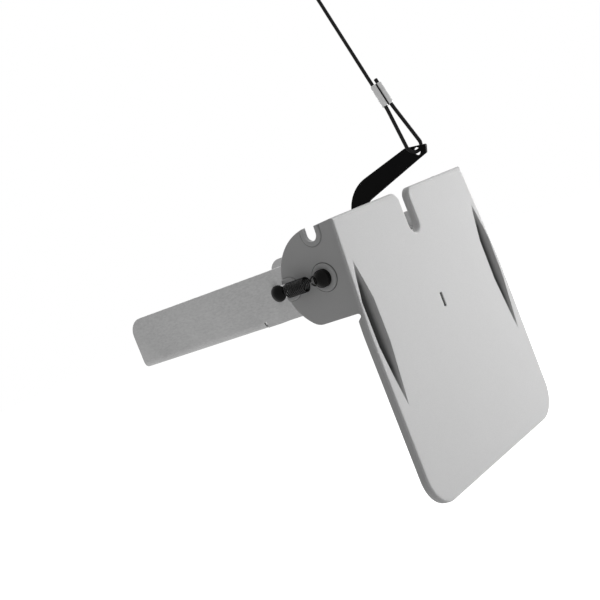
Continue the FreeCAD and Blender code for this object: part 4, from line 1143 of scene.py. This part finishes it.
ferruleSet = {
    "length": 20.0, "barrel": 2.7, "waist": 0.45, "endRound": 0.8, "endRings": (0, 0.08, 0.35, 0.8),
    "firstRing": 1.4, "rings": 40, "crimps": 3, "crimpDepth": 0.1, "crimpFrom": 1.5,
    # Painted shade in the waist: its width and reach
    "shadeWidth": 0.6, "shadeReach": 1.6,
}


def onCable(points, distance=0.0, flip=False):
    # Turned about the cable, leaned forward and set at a distance along it
    c = cableSet
    lean = np.array(Matrix.Rotation(-math.radians(c["lean"]), 3, "X"))
    whole = lean @ np.array(Matrix.Rotation(-math.radians(c["turn"]), 3, "Z"))
    if flip:
        whole = whole @ np.array(Matrix.Rotation(math.pi, 3, "X"))
    return np.asarray(points) @ whole.T + c["eyelet"] + lean @ [0, 0, distance]


def eyePath():
    # Straight in the ferrule, eased legs and a round end at the eyelet
    c = cableSet
    bend, neck, apart = c["bend"], c["eye"], c["apart"]
    top = neck + ferruleSet["length"]
    touch = math.acos(bend / math.hypot(apart, neck - bend))
    angle = math.pi / 2 - math.atan2(apart, neck - bend) - touch
    loop = arc((0, bend), bend, angle, -math.pi - angle, 40)
    lead, leg = np.array([apart, neck]), loop[0]
    back = lead + (leg - lead) / np.linalg.norm(leg - lead) * c["ease"] / 2
    on = lead + [0, c["ease"] / 2]
    straight = np.linspace([apart, top + c["tail"]], on, 10)[:-1]
    right = np.vstack([straight, easedCorner(on, lead, back, 10), np.linspace(back, leg, 14)[1:-1]])
    left = right[::-1] * [-1, 1]
    flat = np.vstack([right, loop, left[left[:, 1] < top]])
    return addColumn(flat, 0.0)[:, [0, 2, 1]]


def ferruleShell():
    # Double barrel outline carried along the cable: pressed waist, three faint crimps and rounded ends.
    # Its value for the material is -1 in the waist, where shade is painted between the barrels.
    f = ferruleSet
    apart, length = cableSet["apart"], f["length"]
    wrap = math.pi - math.asin(f["waist"])
    barrel = arc((apart, 0), f["barrel"], -wrap, wrap, 30)
    inner = np.linspace(barrel[-1], barrel[-1] * [-1, 1], 8)[1:-1]
    outline = np.vstack([barrel, inner, -barrel, -inner])
    first = np.array(f["endRings"])
    rings = np.linspace(f["firstRing"], length - f["firstRing"], f["rings"])
    along = np.concatenate([first, rings, length - first[::-1]])
    end = np.minimum(along, length - along)
    shrink = f["endRound"] * (1 - np.sqrt(1 - (1 - np.clip(end / f["endRound"], 0, 1)) ** 2))
    crimp = np.clip(np.cos((along / length - 0.5) * math.tau * f["crimps"]), 0, 1) ** 2
    less = (shrink + f["crimpDepth"] * crimp * (end > f["crimpFrom"]))[:, None, None]
    sections = outline * (1 - less / np.linalg.norm(outline, axis=1)[:, None])
    heights = cableSet["eye"] + along
    points = np.vstack([addColumn(section, height) for section, height in zip(sections, heights)])
    faces = ringQuads(len(along), len(outline)) + endFaces(len(along), len(outline))
    # Painted shade in the waist between the barrels
    dust = -np.clip(f["shadeReach"] - np.abs(outline[:, 0]) / f["shadeWidth"], 0, 1)
    return points, faces, np.tile(dust, len(along))


def makeCable():
    c = cableSet
    start, radius, ferrules = c["eye"] + ferruleSet["length"], c["diameter"] / 2, []
    ends = {"near": ("cable", 0.0, False), "far": ("end", 2 * start + c["run"], True)}
    for name, (node, distance, flip) in ends.items():
        points, faces, uv = sweep(onCable(eyePath(), distance, flip), radius, 14, c["strands"])
        addPiece(name + "Eye", points, faces, "ropeBlack", "cable", node + "_eye", uv=uv)
        # The ferrule's values are painted shade in its waist
        points, faces, dust = ferruleShell()
        points = onCable(points, distance, flip)
        node += "_ferrule"
        ferrules.append(addPiece(name + "Ferrule", points, faces, "crimpMetal", "cable", node, dust))
    stops = (0.0, c["lead"], c["run"] - c["lead"], c["run"])
    route = onCable([[-c["apart"], 0, start + along] for along in stops]) * mm
    curve = bpy.data.curves.new("liftCable", "CURVE")
    curve.dimensions = "3D"
    curve.bevel_depth = radius * mm
    curve.bevel_resolution, curve.resolution_u = c["fineness"]
    curve.use_fill_caps = True
    spline = curve.splines.new("NURBS")
    spline.points.add(len(route) - 1)
    spline.points.foreach_set("co", np.column_stack([route, np.ones(len(route))]).ravel())
    spline.order_u = 3
    spline.use_endpoint_u = True
    curve.materials.append(finishes["ropeBlack"])
    cable = addObject("liftCable", curve)
    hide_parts("lift_cable")
    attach(cable, "cable")


makeCable()
print("cable made")
